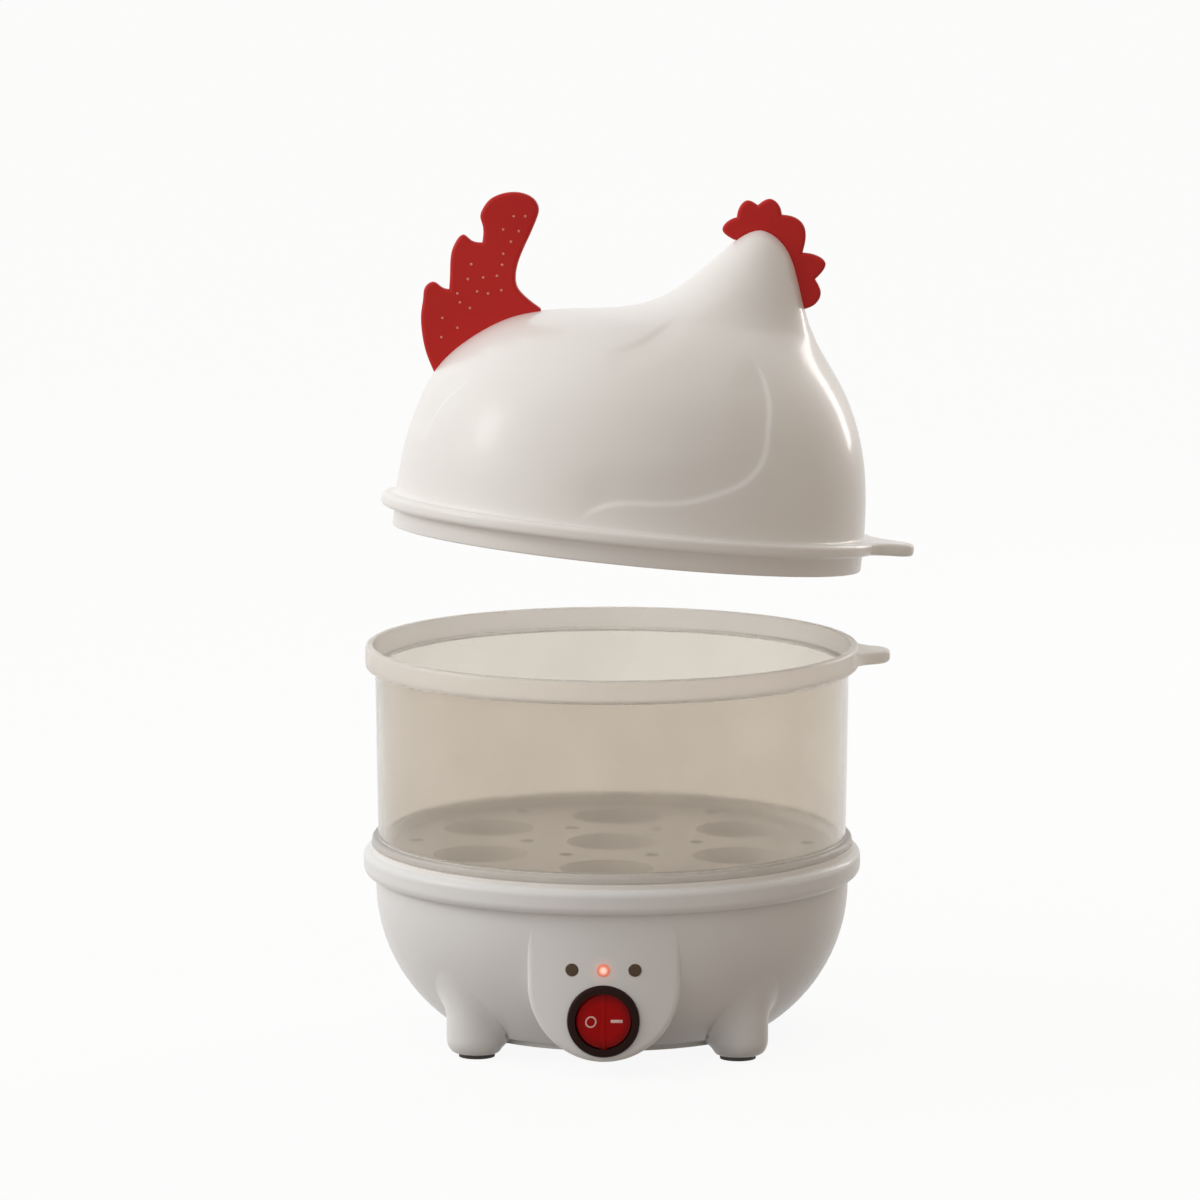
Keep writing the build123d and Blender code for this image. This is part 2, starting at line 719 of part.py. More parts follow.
# Steel heating pan with its studs and earth tab
with BuildPart() as heating_pan:
    with BuildSketch(Plane.XY.offset(pan_under)):
        Circle(pan_radius)
    extrude(amount=pan_depth + pan_wall)
    fillet(heating_pan.faces().sort_by(Axis.Z)[0].edges(), pan_corner)
    with BuildSketch(Plane.XY.offset(pan_flange_under)):
        Circle(pan_radius + pan_flange_width)
    extrude(amount=pan_wall)
    with BuildSketch(Plane.XZ) as pan_hollow:
        with Locations((0, pan_under + pan_wall)):
            Rectangle(pan_radius - pan_wall, pan_depth, align=(Align.MIN, Align.MIN))
        fillet(pan_hollow.vertices().group_by(Axis.X)[-1].sort_by(Axis.Y)[0], pan_corner - pan_wall)
    revolve(axis=Axis.Z, mode=Mode.SUBTRACT)
    with BuildSketch(Plane.XY.offset(pan_under)):
        with Locations(*stud_places):
            Circle(pan_stud_radius)
    extrude(amount=-pan_stud_length)
    with BuildSketch(Plane.XY.offset(pan_under)):
        with Locations((-earth_tab_place, -earth_tab_place)):
            Rectangle(earth_tab_width, earth_tab_wall)
    extrude(amount=-earth_tab_length)
export_piece(heating_pan, "heating_pan")

# Ring heating element with two pins, held by a bar on the pan's studs
pin_turn = 90 - element_gap_angle / 2 - degrees(element_width / 2 / element_circle)
pin_place = (element_circle * cos(radians(pin_turn)), element_circle * sin(radians(pin_turn)))
pin_places = (pin_place, (-pin_place[0], pin_place[1]))
with BuildPart() as heating_element:
    with BuildSketch(radial_plane(90 + element_gap_angle / 2)):
        with Locations((element_circle, bracket_top + element_height / 2)):
            RectangleRounded(element_width, element_height, element_round)
    revolve(axis=Axis.Z, revolution_arc=360 - element_gap_angle)
    with BuildSketch(Plane.XY.offset(bracket_top + element_height / 2)):
        with Locations(*pin_places):
            Circle(element_pin_radius)
    extrude(amount=-(element_height / 2 + element_pin_length))
export_piece(heating_element, "heating_element")

with BuildPart() as element_bracket:
    with BuildSketch(Plane.XY.offset(bracket_top)):
        RectangleRounded(bracket_length, bracket_width, bracket_width / 4)
        with Locations(*stud_places):
            Circle(pan_stud_radius + fit_gap, mode=Mode.SUBTRACT)
    extrude(amount=-bracket_wall)
export_piece(element_bracket, "element_bracket")

with BuildPart() as bracket_nuts:
    with BuildSketch(Plane.XY.offset(bracket_top - bracket_wall)):
        with Locations(*stud_places):
            RegularPolygon(nut_flats / 2, 6, major_radius=False)
            Circle(pan_stud_radius + thread_gap, mode=Mode.SUBTRACT)
    extrude(amount=-nut_height)
export_piece(bracket_nuts, "bracket_nuts")

# Thermostat on the middle of the bar, and the thermal fuse beside it
blade_reach = thermostat_radius + thermostat_blade_length
with BuildPart() as thermostat:
    with BuildSketch(Plane.XY.offset(bracket_top)):
        Circle(thermostat_radius)
    extrude(amount=element_height)
    with BuildSketch(Plane.XY.offset(bracket_top + (element_height - blade_wall) / 2)):
        Rectangle(blade_width, 2 * blade_reach)
    extrude(amount=blade_wall)
export_piece(thermostat, "thermostat")

with BuildPart() as thermal_fuse:
    with BuildSketch(Plane.XZ):
        with Locations((fuse_place, bracket_top + fuse_width / 2)):
            RectangleRounded(fuse_width, fuse_width, fuse_round)
    extrude(amount=fuse_length / 2, both=True)
export_piece(thermal_fuse, "thermal_fuse")

# Egg rack: seat plate, locating ring under it and lip inside the bowl
rack_ring_radius = land_radius - lift_gap
rack_lip_radius = bowl_foot_radius - bowl_wall - lift_gap
seat_places = [(0, 0)] + polar_places(seat_circle, seat_count, seat_first_angle)
steam_angle = seat_first_angle + 180 / seat_count
with BuildPart() as egg_rack:
    with BuildSketch(Plane.XY.offset(rack_under)):
        Circle(body_radius + rack_flange_reach)
    extrude(amount=rack_wall)
    with BuildSketch(Plane.XY.offset(rack_under)):
        Circle(rack_ring_radius)
        Circle(rack_ring_radius - rack_wall, mode=Mode.SUBTRACT)
    extrude(amount=-rack_ring_depth)
    with BuildSketch(Plane.XY.offset(rack_face)):
        Circle(rack_lip_radius)
        Circle(rack_lip_radius - rack_wall, mode=Mode.SUBTRACT)
    extrude(amount=rack_lip_height)
    funnel = seat_depth + rack_wall
    with Locations(*[(x, y, rack_face) for x, y in seat_places]):
        Cone(seat_tip_radius + rack_wall, seat_radius + rack_wall, funnel,
             align=(Align.CENTER, Align.CENTER, Align.MAX))
    with Locations(*[(x, y, rack_face) for x, y in seat_places]):
        Cone(seat_tip_radius, seat_radius, funnel,
             align=(Align.CENTER, Align.CENTER, Align.MAX), mode=Mode.SUBTRACT)
    with BuildSketch(Plane.XY.offset(rack_under)):
        with Locations(*polar_places(steam_inner_circle, seat_count, steam_angle)):
            Circle(steam_hole_radius)
        with Locations(*polar_places(steam_outer_circle, seat_count, steam_angle)):
            Circle(steam_hole_radius)
    extrude(amount=rack_wall, mode=Mode.SUBTRACT)
export_piece(egg_rack, "egg_rack")

# Steamer bowl: tapered wall, foot bead, rim band with a recess for the lid's skirt, finger tab
bead_top = rack_face + bead_height
rim_under = bowl_top - rim_height
rim_ledge = bowl_top - skirt_depth - lift_gap


def bowl_radius(height):
    """Outer radius of the bowl's wall at a height."""
    return bowl_foot_radius + bowl_flare * (height - rack_face) / bowl_height


with BuildPart() as steamer_bowl:
    with BuildSketch(Plane.XZ) as bowl_section:
        with BuildLine():
            Polyline(
                (bowl_foot_radius - bowl_wall, rack_face),
                (bowl_foot_radius + bead_reach, rack_face),
                (bowl_foot_radius + bead_reach, bead_top),
                (bowl_radius(bead_top), bead_top),
                (bowl_radius(rim_under), rim_under),
                (rim_radius, rim_under),
                (rim_radius, bowl_top),
                (rim_inner_radius, bowl_top),
                (rim_inner_radius, rim_ledge),
                (bowl_radius(rim_ledge) - bowl_wall, rim_ledge),
                close=True,
            )
        make_face()
        fillet(bowl_section.vertices().group_by(Axis.X)[-1], rim_round)
        bead_corner = bowl_section.vertices().filter_by_position(
            Axis.Y, bead_top - bead_round, bead_top + bead_round,
        ).sort_by(Axis.X)[-1]
        fillet(bead_corner, bead_round)
    revolve(axis=Axis.Z)
    add(finger_tab(
        Plane.XY.offset(bowl_top - bowl_tab_drop - tab_wall),
        rim_radius,
        rim_radius + bowl_tab_reach,
    ).part)
export_piece(steamer_bowl, "steamer_bowl")

# Lid: hen-shaped shell with flange bead, skirt, finger tab and screw bosses for comb and tail
tail_rear = tail_rear_share * dome_radius
tail_length = tail_length_share * dome_radius
tail_height = tail_height_share * hen_height
comb_rear = comb_rear_share * dome_radius
comb_length = comb_length_share * dome_radius
comb_height = comb_height_share * hen_height
crest_places = [tail_rear + share * tail_length for share in tail_screw_shares]
crest_places.append(comb_rear + comb_screw_share * comb_length)
crest_feet = [back_height(place) - crest_boss_depth for place in crest_places]
skirt_inner_radius = skirt_radius - skirt_wall
flange_under = -flange_wall / 2
flange_root = dome_radius - lid_wall / 2
hen_outside = hen_solid(0)

with BuildPart() as crest_bosses:
    for place, foot in zip(crest_places, crest_feet):
        with BuildSketch(lid_plane.offset(foot)):
            with Locations((place, 0)):
                Circle(crest_boss_radius)
        extrude(amount=crest_boss_depth + crest_boss_radius)
    add(hen_solid(lid_wall / 2), mode=Mode.INTERSECT)

with BuildPart() as crest_holes:
    for place, foot in zip(crest_places, crest_feet):
        with BuildSketch(lid_plane.offset(foot)):
            with Locations((place, 0)):
                Circle(screw_radius + screw_hole_gap)
        extrude(amount=crest_screw_length + fit_gap)

with BuildPart() as lid_shell:
    add(hen_outside)
    add(hen_solid(lid_wall), mode=Mode.SUBTRACT)
    with BuildSketch(lid_side_plane) as flange_section:
        with BuildLine():
            Polyline(
                (skirt_inner_radius, flange_under - skirt_depth),
                (skirt_radius, flange_under - skirt_depth),
                (skirt_radius, flange_under),
                (flange_radius, flange_under),
                (flange_radius, flange_under + flange_wall),
                (flange_root, flange_under + flange_wall),
                (flange_root, 0),
                (skirt_inner_radius, 0),
                close=True,
            )
        make_face()
        fillet(flange_section.vertices().group_by(Axis.X)[-1], flange_round)
    revolve(axis=lid_axis)
    add(finger_tab(
        lid_plane.offset(-tab_wall / 2),
        flange_radius,
        flange_radius + lid_tab_reach,
    ).part)
    add(crest_bosses.part)
    add(crest_holes.part, mode=Mode.SUBTRACT)
export_piece(lid_shell, "lid_shell")

# Tail and comb, cut to the hen's outer face
tail = crest_plate(
    tail_feather_shares, tail_root_shares, tail_rear, tail_foot_share * hen_height,
    tail_length, tail_height, tail_wall,
)
comb = crest_plate(
    comb_lobe_shares, comb_root_shares, comb_rear, comb_foot_share * hen_height,
    comb_length, comb_height, comb_wall,
)
for crest, label in ((tail, "tail"), (comb, "comb")):
    with crest:
        add(hen_outside, mode=Mode.SUBTRACT)
        add(crest_holes.part, mode=Mode.SUBTRACT)
    export_piece(crest, label)

with BuildPart() as crest_screws:
    for place, foot in zip(crest_places, crest_feet):
        foot_plane = Plane(
            origin=lid_plane.from_local_coords((place, 0, foot)),
            x_dir=lid_plane.x_dir, z_dir=-lid_plane.z_dir,
        )
        add(screw_shape(
            foot_plane, [(0, 0)],
            screw_radius, crest_screw_length, screw_head_radius, screw_head_height,
        ).part)
export_piece(crest_screws, "crest_screws")

# Round switch: bezel and barrel with the rocker's pocket and pin holes
with BuildPart() as switch_body:
    with BuildSketch(switch_plane):
        Circle(bezel_radius)
    extrude(amount=-bezel_wall)
    fillet(switch_body.edges().filter_by(GeomType.CIRCLE).sort_by(Axis.Y)[0], bezel_round)
    with BuildSketch(switch_plane.offset(-bezel_wall)):
        Circle(barrel_radius)
    extrude(amount=-barrel_depth)
    with BuildSketch(switch_plane):
        Circle(pocket_radius)
    extrude(amount=-(rocker_pivot_depth + pocket_radius), mode=Mode.SUBTRACT)
    with BuildSketch(Plane.XY.offset(switch_height)):
        with Locations((0, pivot_y)):
            Circle(rocker_pin_radius + pin_gap)
    extrude(amount=pin_end + pin_gap, both=True, mode=Mode.SUBTRACT)
export_piece(switch_body, "switch_body")

# Rocker: a ball cut to two faces that meet in a shallow valley, on pins
rise = rocker_radius * tan(radians(rocker_swing))
valley_y = pivot_y - rocker_valley
with BuildPart() as rocker:
    with Locations((0, pivot_y, switch_height)):
        Sphere(rocker_radius)
    with BuildSketch(Plane.XY.offset(switch_height)):
        with BuildLine():
            Polyline(
                (-rocker_radius, pivot_y + rocker_back),
                (rocker_radius, pivot_y + rocker_back),
                (rocker_radius, valley_y),
                (0, valley_y),
                (-rocker_radius, valley_y - rise),
                close=True,
            )
        make_face()
    extrude(amount=rocker_radius, both=True, mode=Mode.INTERSECT)
    with BuildSketch(Plane.XY.offset(switch_height)):
        with Locations((0, pivot_y)):
            Circle(rocker_pin_radius)
    extrude(amount=pin_end, both=True)
    on_plane = Plane(origin=(0, valley_y, switch_height), x_dir=(1, 0, 0), z_dir=(0, -1, 0))
    with BuildSketch(on_plane):
        with Locations((mark_place, 0)):
            Rectangle(2 * mark_size, 2 * mark_line)
    extrude(amount=-mark_depth, mode=Mode.SUBTRACT)
    slope = radians(rocker_swing)
    off_plane = Plane(
        origin=(0, valley_y, switch_height),
        x_dir=(cos(slope), sin(slope), 0),
        z_dir=(sin(slope), -cos(slope), 0),
    )
    with BuildSketch(off_plane):
        with Locations((-mark_place, 0)):
            Circle(mark_size)
            Circle(mark_size - mark_line, mode=Mode.SUBTRACT)
    extrude(amount=-mark_depth, mode=Mode.SUBTRACT)
export_piece(rocker, "rocker")

# Blades on the back of the switch
switch_blade_places = ((-terminal_side, -terminal_drop), (terminal_side, -terminal_drop), (0, terminal_rise))
with BuildPart() as switch_terminals:
    with BuildSketch(front_plane(barrel_back, switch_height)):
        with Locations(*switch_blade_places):
            Rectangle(blade_width, blade_wall)
    extrude(amount=-terminal_length)
export_piece(switch_terminals, "switch_terminals")

# Lamp windows in the panel: the middle one is lit
for x, label in zip(lamp_places, ("lamp_window_left", "lamp_lens", "lamp_window_right")):
    with BuildPart() as lamp_lens:
        with BuildSketch(lamp_plane):
            with Locations((x, 0)):
                Circle(lamp_flange_radius)
        extrude(amount=lamp_flange_wall)
        with BuildSketch(lamp_plane):
            with Locations((x, 0)):
                Circle(lamp_radius)
        extrude(amount=sqrt(body_radius ** 2 - x ** 2) + lamp_proud - holder_front)
        fillet(lamp_lens.edges().filter_by(GeomType.CIRCLE).sort_by(Axis.Y)[0], lamp_proud)
    export_piece(lamp_lens, label)

# Holder plate behind the lamp windows, its screws, and the neon lamp in its middle hole
with BuildPart() as lamp_holder:
    with BuildSketch(lamp_plane):
        RectangleRounded(holder_length, holder_height, holder_round)
        Circle(neon_radius + neon_gap, mode=Mode.SUBTRACT)
        with Locations(*post_places):
            Circle(lamp_screw_radius + screw_hole_gap, mode=Mode.SUBTRACT)
    extrude(amount=-holder_wall)
export_piece(lamp_holder, "lamp_holder")

screw_plane = Plane(origin=(0, -holder_back, lamp_height), x_dir=(1, 0, 0), z_dir=(0, 1, 0))
lamp_screws = screw_shape(
    screw_plane, post_places,
    lamp_screw_radius, lamp_screw_length, lamp_screw_head_radius, lamp_screw_head_height,
)
export_piece(lamp_screws, "lamp_screws")

with BuildPart() as neon_lamp:
    with BuildSketch(lamp_plane):
        Circle(neon_radius)
    extrude(amount=-neon_length)
    fillet(neon_lamp.edges().filter_by(GeomType.CIRCLE).sort_by(Axis.Y)[0], neon_radius / 2)
export_piece(neon_lamp, "neon_lamp")

# Cord gland at the back: bush with an outer flange, a neck through the wall and an inner lip
with BuildPart() as cord_gland:
    with BuildSketch(front_plane(-gland_pad_face, gland_height)):
        Circle(gland_flange_radius)
    extrude(amount=-gland_flange_wall)
    with BuildSketch(front_plane(-gland_pad_face, gland_height)):
        Circle(gland_neck_radius)
    extrude(amount=gland_pad_face - gland_lip_face)
    with BuildSketch(front_plane(-gland_lip_face, gland_height)):
        Circle(gland_lip_radius)
    extrude(amount=gland_lip_wall)
    with BuildSketch(front_plane(-(gland_pad_face + overrun), gland_height)):
        Circle(gland_bore)
    extrude(amount=gland_pad_face + overrun, mode=Mode.SUBTRACT)
export_piece(cord_gland, "cord_gland")

# Terminal block on the bottom cover, with its clamp screws
block_top = housing_bottom + block_height
block_screw_places = [(x, block_centre_y) for x in (-block_pitch, 0, block_pitch)]
with BuildPart() as terminal_block:
    with BuildSketch(Plane.XY.offset(housing_bottom)):
        with Locations((0, block_centre_y)):
            Rectangle(block_length, block_width)
    extrude(amount=block_height)
    with BuildSketch(Plane.XY.offset(block_top)):
        with Locations(*block_screw_places):
            Circle(block_screw_radius + fit_gap)
    extrude(amount=-block_screw_depth, mode=Mode.SUBTRACT)
export_piece(terminal_block, "terminal_block")

with BuildPart() as terminal_screws:
    with BuildSketch(Plane.XY.offset(block_top - block_screw_depth)):
        with Locations(*block_screw_places):
            Circle(block_screw_radius)
    extrude(amount=block_screw_depth + block_screw_proud)
export_piece(terminal_screws, "terminal_screws")

# Internal leads, each from the face of one terminal to the face of another
lead_level = housing_bottom + block_height / 2
block_front = block_centre_y - block_width / 2
block_rear = block_centre_y + block_width / 2
blade_level = bracket_top + element_height / 2
fuse_level = bracket_top + fuse_width / 2
pin_foot = bracket_top - element_pin_length
under_level = pin_foot - lead_stub
earth_foot = pan_under - earth_tab_length
low_blade = switch_height - terminal_drop
high_blade = switch_height + terminal_rise
blade_stub = -(blade_end - lead_stub)

lead([
    (block_pitch, block_front, lead_level),
    (block_pitch, block_front - lead_stub, lead_level),
    (-terminal_side, blade_stub, low_blade),
    (-terminal_side, -blade_end, low_blade),
], "lead_switch_in")
lead([
    (0, -blade_reach, blade_level),
    (0, -blade_reach - lead_stub, blade_level),
    (terminal_side, blade_stub, low_blade),
    (terminal_side, -blade_end, low_blade),
], "lead_switch_out")
lead([
    (0, neon_length - holder_front, lamp_height),
    (0, blade_stub, lamp_height),
    (0, blade_stub, high_blade),
    (0, -blade_end, high_blade),
], "lead_lamp")
lead([
    (0, blade_reach, blade_level),
    (0, blade_reach + lead_stub, blade_level),
    (fuse_place, blade_reach + lead_stub, fuse_level),
    (fuse_place, fuse_length / 2, fuse_level),
], "lead_fuse")
lead([
    (fuse_place, -fuse_length / 2, fuse_level),
    (fuse_place, -fuse_length / 2 - 2 * lead_bend, fuse_level),
    (fuse_place, -fuse_length / 2 - 2 * lead_bend, under_level),
    (pin_place[0], pin_place[1], under_level),
    (pin_place[0], pin_place[1], pin_foot),
], "lead_element")
lead([
    (-pin_place[0], pin_place[1], pin_foot),
    (-pin_place[0], pin_place[1], pin_foot - lead_stub),
    (-block_pitch, block_rear + 2 * lead_stub, lead_level),
    (-block_pitch, block_rear, lead_level),
], "lead_return")
lead([
    (-earth_tab_place, -earth_tab_place, earth_foot),
    (-earth_tab_place, -earth_tab_place, earth_foot - 2 * lead_stub),
    (0, block_front - 2 * lead_stub, lead_level),
    (0, block_front, lead_level),
], "lead_earth")
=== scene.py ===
"""Looks of a hen-shaped electric egg cooker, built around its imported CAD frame."""
import json
import math

import bpy
import numpy as np
from mathutils import Matrix, Vector


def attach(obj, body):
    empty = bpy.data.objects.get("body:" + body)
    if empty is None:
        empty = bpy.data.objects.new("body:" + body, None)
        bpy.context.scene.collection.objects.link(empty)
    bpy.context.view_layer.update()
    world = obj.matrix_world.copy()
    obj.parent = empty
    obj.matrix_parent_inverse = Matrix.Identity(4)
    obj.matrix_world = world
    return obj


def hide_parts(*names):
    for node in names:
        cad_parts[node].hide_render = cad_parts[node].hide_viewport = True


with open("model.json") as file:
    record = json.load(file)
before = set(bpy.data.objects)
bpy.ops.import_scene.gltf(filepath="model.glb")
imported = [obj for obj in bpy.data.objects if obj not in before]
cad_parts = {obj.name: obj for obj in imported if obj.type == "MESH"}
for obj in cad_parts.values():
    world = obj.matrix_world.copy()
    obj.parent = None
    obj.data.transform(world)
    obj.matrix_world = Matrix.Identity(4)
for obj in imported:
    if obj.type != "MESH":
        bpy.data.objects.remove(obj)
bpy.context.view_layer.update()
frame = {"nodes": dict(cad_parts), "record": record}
nodes = frame["nodes"]
scene = bpy.context.scene
MM = 0.001


def rgb(red, green, blue):
    """Linear colour from the usual 0 to 255 values."""
    values = []
    for value in (red, green, blue):
        share = value / 255
        values.append(share / 12.92 if share <= 0.04045 else ((share + 0.055) / 1.055) ** 2.4)
    return (*values, 1.0)


# Camera at the photograph's angle, a long lens some way off
camera_target = Vector((-0.0039, 0.0, 0.1425))
camera_distance = 2.5
camera_azimuth = math.radians(2.1)
camera_elevation = math.radians(8.5)
camera_lens = 230.8
camera_sensor = 36.0
camera_back = Vector((
    math.cos(camera_elevation) * math.sin(camera_azimuth),
    -math.cos(camera_elevation) * math.cos(camera_azimuth),
    math.sin(camera_elevation),
))
camera_data = bpy.data.cameras.new("camera")
camera_data.lens = camera_lens
camera_data.sensor_width = camera_sensor
camera = bpy.data.objects.new("camera", camera_data)
scene.collection.objects.link(camera)
camera.location = camera_target + camera_back * camera_distance
camera.rotation_mode = "QUATERNION"
camera.rotation_quaternion = (-camera_back).to_track_quat("-Z", "Y")
scene.camera = camera
scene.view_settings.view_transform = "Standard"


# Material helpers. Object coordinates are metres in the part's own frame.
class Tree:
    """Node tree of one material, with a Principled shader on its output."""

    def __init__(self, name):
        self.material = bpy.data.materials.new(name)
        self.material.use_nodes = True
        self.nodes = self.material.node_tree.nodes
        self.links = self.material.node_tree.links
        self.shader = self.nodes["Principled BSDF"]
        self.coordinates = self.nodes.new("ShaderNodeTexCoord").outputs["Object"]

    def set(self, **values):
        """Constant values of the shader's sockets, named with underscores for spaces."""
        for key, value in values.items():
            self.shader.inputs[key.replace("_", " ")].default_value = value

    def link(self, source, target):
        self.links.new(source, target)

    def noise(self, scale, detail=3.0, stretch=(1, 1, 1)):
        """Cloudy pattern of about 0.3 to 0.7."""
        mapping = self.nodes.new("ShaderNodeMapping")
        mapping.inputs["Scale"].default_value = stretch
        self.link(self.coordinates, mapping.inputs["Vector"])
        texture = self.nodes.new("ShaderNodeTexNoise")
        texture.inputs["Scale"].default_value = scale
        texture.inputs["Detail"].default_value = detail
        self.link(mapping.outputs["Vector"], texture.inputs["Vector"])
        return texture.outputs["Fac"]

    def range(self, source, low, high, start=0.3, end=0.7):
        """Value that goes from low to high while its source goes from start to end."""
        node = self.nodes.new("ShaderNodeMapRange")
        node.inputs["From Min"].default_value = start
        node.inputs["From Max"].default_value = end
        node.inputs["To Min"].default_value = low
        node.inputs["To Max"].default_value = high
        self.link(source, node.inputs["Value"])
        return node.outputs["Result"]

    def mix(self, factor, first, second):
        """Blend of two colours, each a constant or a socket."""
        node = self.nodes.new("ShaderNodeMix")
        node.data_type = "RGBA"
        self.link(factor, node.inputs["Factor"])
        for value, socket in ((first, node.inputs["A"]), (second, node.inputs["B"])):
            if isinstance(value, tuple):
                socket.default_value = value
            else:
                self.link(value, socket)
        return node.outputs["Result"]

    def math(self, operation, first, second):
        """Sum, product and the like of two numbers, each a constant or a socket."""
        node = self.nodes.new("ShaderNodeMath")
        node.operation = operation
        for value, socket in zip((first, second), node.inputs):
            if isinstance(value, (int, float)):
                socket.default_value = value
            else:
                self.link(value, socket)
        return node.outputs["Value"]

    def split(self, source):
        node = self.nodes.new("ShaderNodeSeparateXYZ")
        self.link(source, node.inputs["Vector"])
        return node.outputs

    def bump(self, height, distance):
        """Fine relief of a given depth in metres."""
        node = self.nodes.new("ShaderNodeBump")
        node.inputs["Distance"].default_value = distance
        node.inputs["Strength"].default_value = 1.0
        self.link(height, node.inputs["Height"])
        self.link(node.outputs["Normal"], self.shader.inputs["Normal"])


mottle_scale = 22.0
gloss_scale = 95.0


def moulded(name, tone, shade, roughness, grain=900.0, depth=0.00002, spread=0.06, **values):
    """Moulded plastic, rubber or paint: two close tones, uneven gloss and a fine grain."""
    tree = Tree(name)
    tree.link(
        tree.mix(tree.range(tree.noise(mottle_scale), 0.0, 1.0), tone, shade),
        tree.shader.inputs["Base Color"],
    )
    tree.link(
        tree.range(tree.noise(gloss_scale, 4.0), roughness - spread, roughness + spread),
        tree.shader.inputs["Roughness"],
    )
    tree.bump(tree.noise(grain, 2.0), depth)
    tree.set(**values)
    return tree


ring_scale = 1500.0
grain_scale = 420.0
wear_scale = 120.0
brush_depth = 0.00003


def brushed(name, tone, shade, roughness, rings):
    """Turned or drawn metal: fine rings about the vessel's axis, or straight grain."""
    tree = Tree(name)
    x, y, z = tree.split(tree.coordinates)
    if rings:
        squares = tree.math("ADD", tree.math("MULTIPLY", x, x), tree.math("MULTIPLY", y, y))
        radius = tree.math("SQRT", squares, 0.0)
        combine = tree.nodes.new("ShaderNodeCombineXYZ")
        tree.link(radius, combine.inputs["X"])
        tree.link(z, combine.inputs["Y"])
        texture = tree.nodes.new("ShaderNodeTexNoise")
        texture.inputs["Scale"].default_value = ring_scale
        texture.inputs["Detail"].default_value = 3.0
        tree.link(combine.outputs["Vector"], texture.inputs["Vector"])
        grain = texture.outputs["Fac"]
    else:
        grain = tree.noise(grain_scale, 3.0, (1.0, 6.0, 6.0))
    tree.link(tree.mix(tree.range(grain, 0.0, 1.0), tone, shade), tree.shader.inputs["Base Color"])
    tree.link(
        tree.range(tree.noise(wear_scale), roughness - 0.06, roughness + 0.08),
        tree.shader.inputs["Roughness"],
    )
    tree.bump(grain, brush_depth)
    tree.set(Metallic=1.0)
    return tree


# White mouldings: the lid slightly warm, the base a little cooler
white_lid = moulded(
    "white_lid", rgb(238, 236, 232), rgb(235, 232, 228), 0.38, spread=0.02,
    Specular_IOR_Level=0.22, Coat_Weight=0.4, Coat_Roughness=0.13, Coat_IOR=1.35,
)
white_base = moulded(
    "white_base", rgb(232, 232, 231), rgb(228, 228, 227), 0.42, spread=0.02,
    Specular_IOR_Level=0.2, Coat_Weight=0.3, Coat_Roughness=0.14, Coat_IOR=1.35,
)
red_crest = moulded(
    "red_crest", rgb(198, 44, 40), rgb(188, 38, 35), 0.42, 700.0, 0.00003,
    Specular_IOR_Level=0.12, Coat_Weight=0.05, Coat_Roughness=0.25,
)
# Tail dots: pale pink, a painted highlight on the small raised bumps
painted_highlight_dots = moulded("painted_highlight_dots", rgb(226, 150, 138), rgb(214, 120, 110), 0.4)
pad_rubber = moulded("pad_rubber", rgb(78, 74, 70), rgb(66, 63, 60), 0.7, 1400.0, 0.00006)
switch_black = moulded(
    "switch_black", rgb(48, 30, 26), rgb(40, 25, 21), 0.5, 1200.0, 0.00003, Specular_IOR_Level=0.06,
)
seal_silicone = moulded("seal_silicone", rgb(214, 208, 198), rgb(202, 196, 186), 0.55, 1100.0, 0.00003)
inner_plastic = moulded("inner_plastic", rgb(205, 201, 192), rgb(192, 188, 180), 0.5)
lead_brown = moulded("lead_brown", rgb(92, 60, 42), rgb(82, 53, 37), 0.5)
lead_blue = moulded("lead_blue", rgb(58, 92, 152), rgb(50, 82, 140), 0.5)
mark_white = moulded("mark_white", rgb(238, 206, 198), rgb(228, 190, 182), 0.4)

# Earth lead: green with a yellow stripe that winds along it
lead_green = moulded("lead_green", rgb(70, 130, 62), rgb(60, 118, 54), 0.5)
stripe = lead_green.nodes.new("ShaderNodeTexWave")
stripe.inputs["Scale"].default_value = 60.0
stripe.inputs["Distortion"].default_value = 0.5
lead_green.link(lead_green.coordinates, stripe.inputs["Vector"])
stripe_share = lead_green.range(stripe.outputs["Fac"], 0.0, 1.0, 0.62, 0.68)
lead_green.link(
    lead_green.mix(stripe_share, rgb(66, 126, 58), rgb(206, 186, 60)),
    lead_green.shader.inputs["Base Color"],
)

# Metals
pan_steel = brushed("pan_steel", rgb(212, 209, 203), rgb(192, 189, 183), 0.28, True)
element_metal = brushed("element_metal", rgb(168, 166, 162), rgb(150, 148, 144), 0.42, True)
bracket_steel = brushed("bracket_steel", rgb(188, 187, 184), rgb(170, 169, 166), 0.36, False)
screw_steel = brushed("screw_steel", rgb(196, 195, 192), rgb(176, 175, 172), 0.3, False)
terminal_brass = brushed("terminal_brass", rgb(206, 172, 106), rgb(188, 154, 90), 0.33, False)


# Clear plastics
band_edge = 0.0004       # half the height over which a frosted band sets in
frost_rough = 0.28       # how much rougher a frosted band is
cloud_depth = 0.03


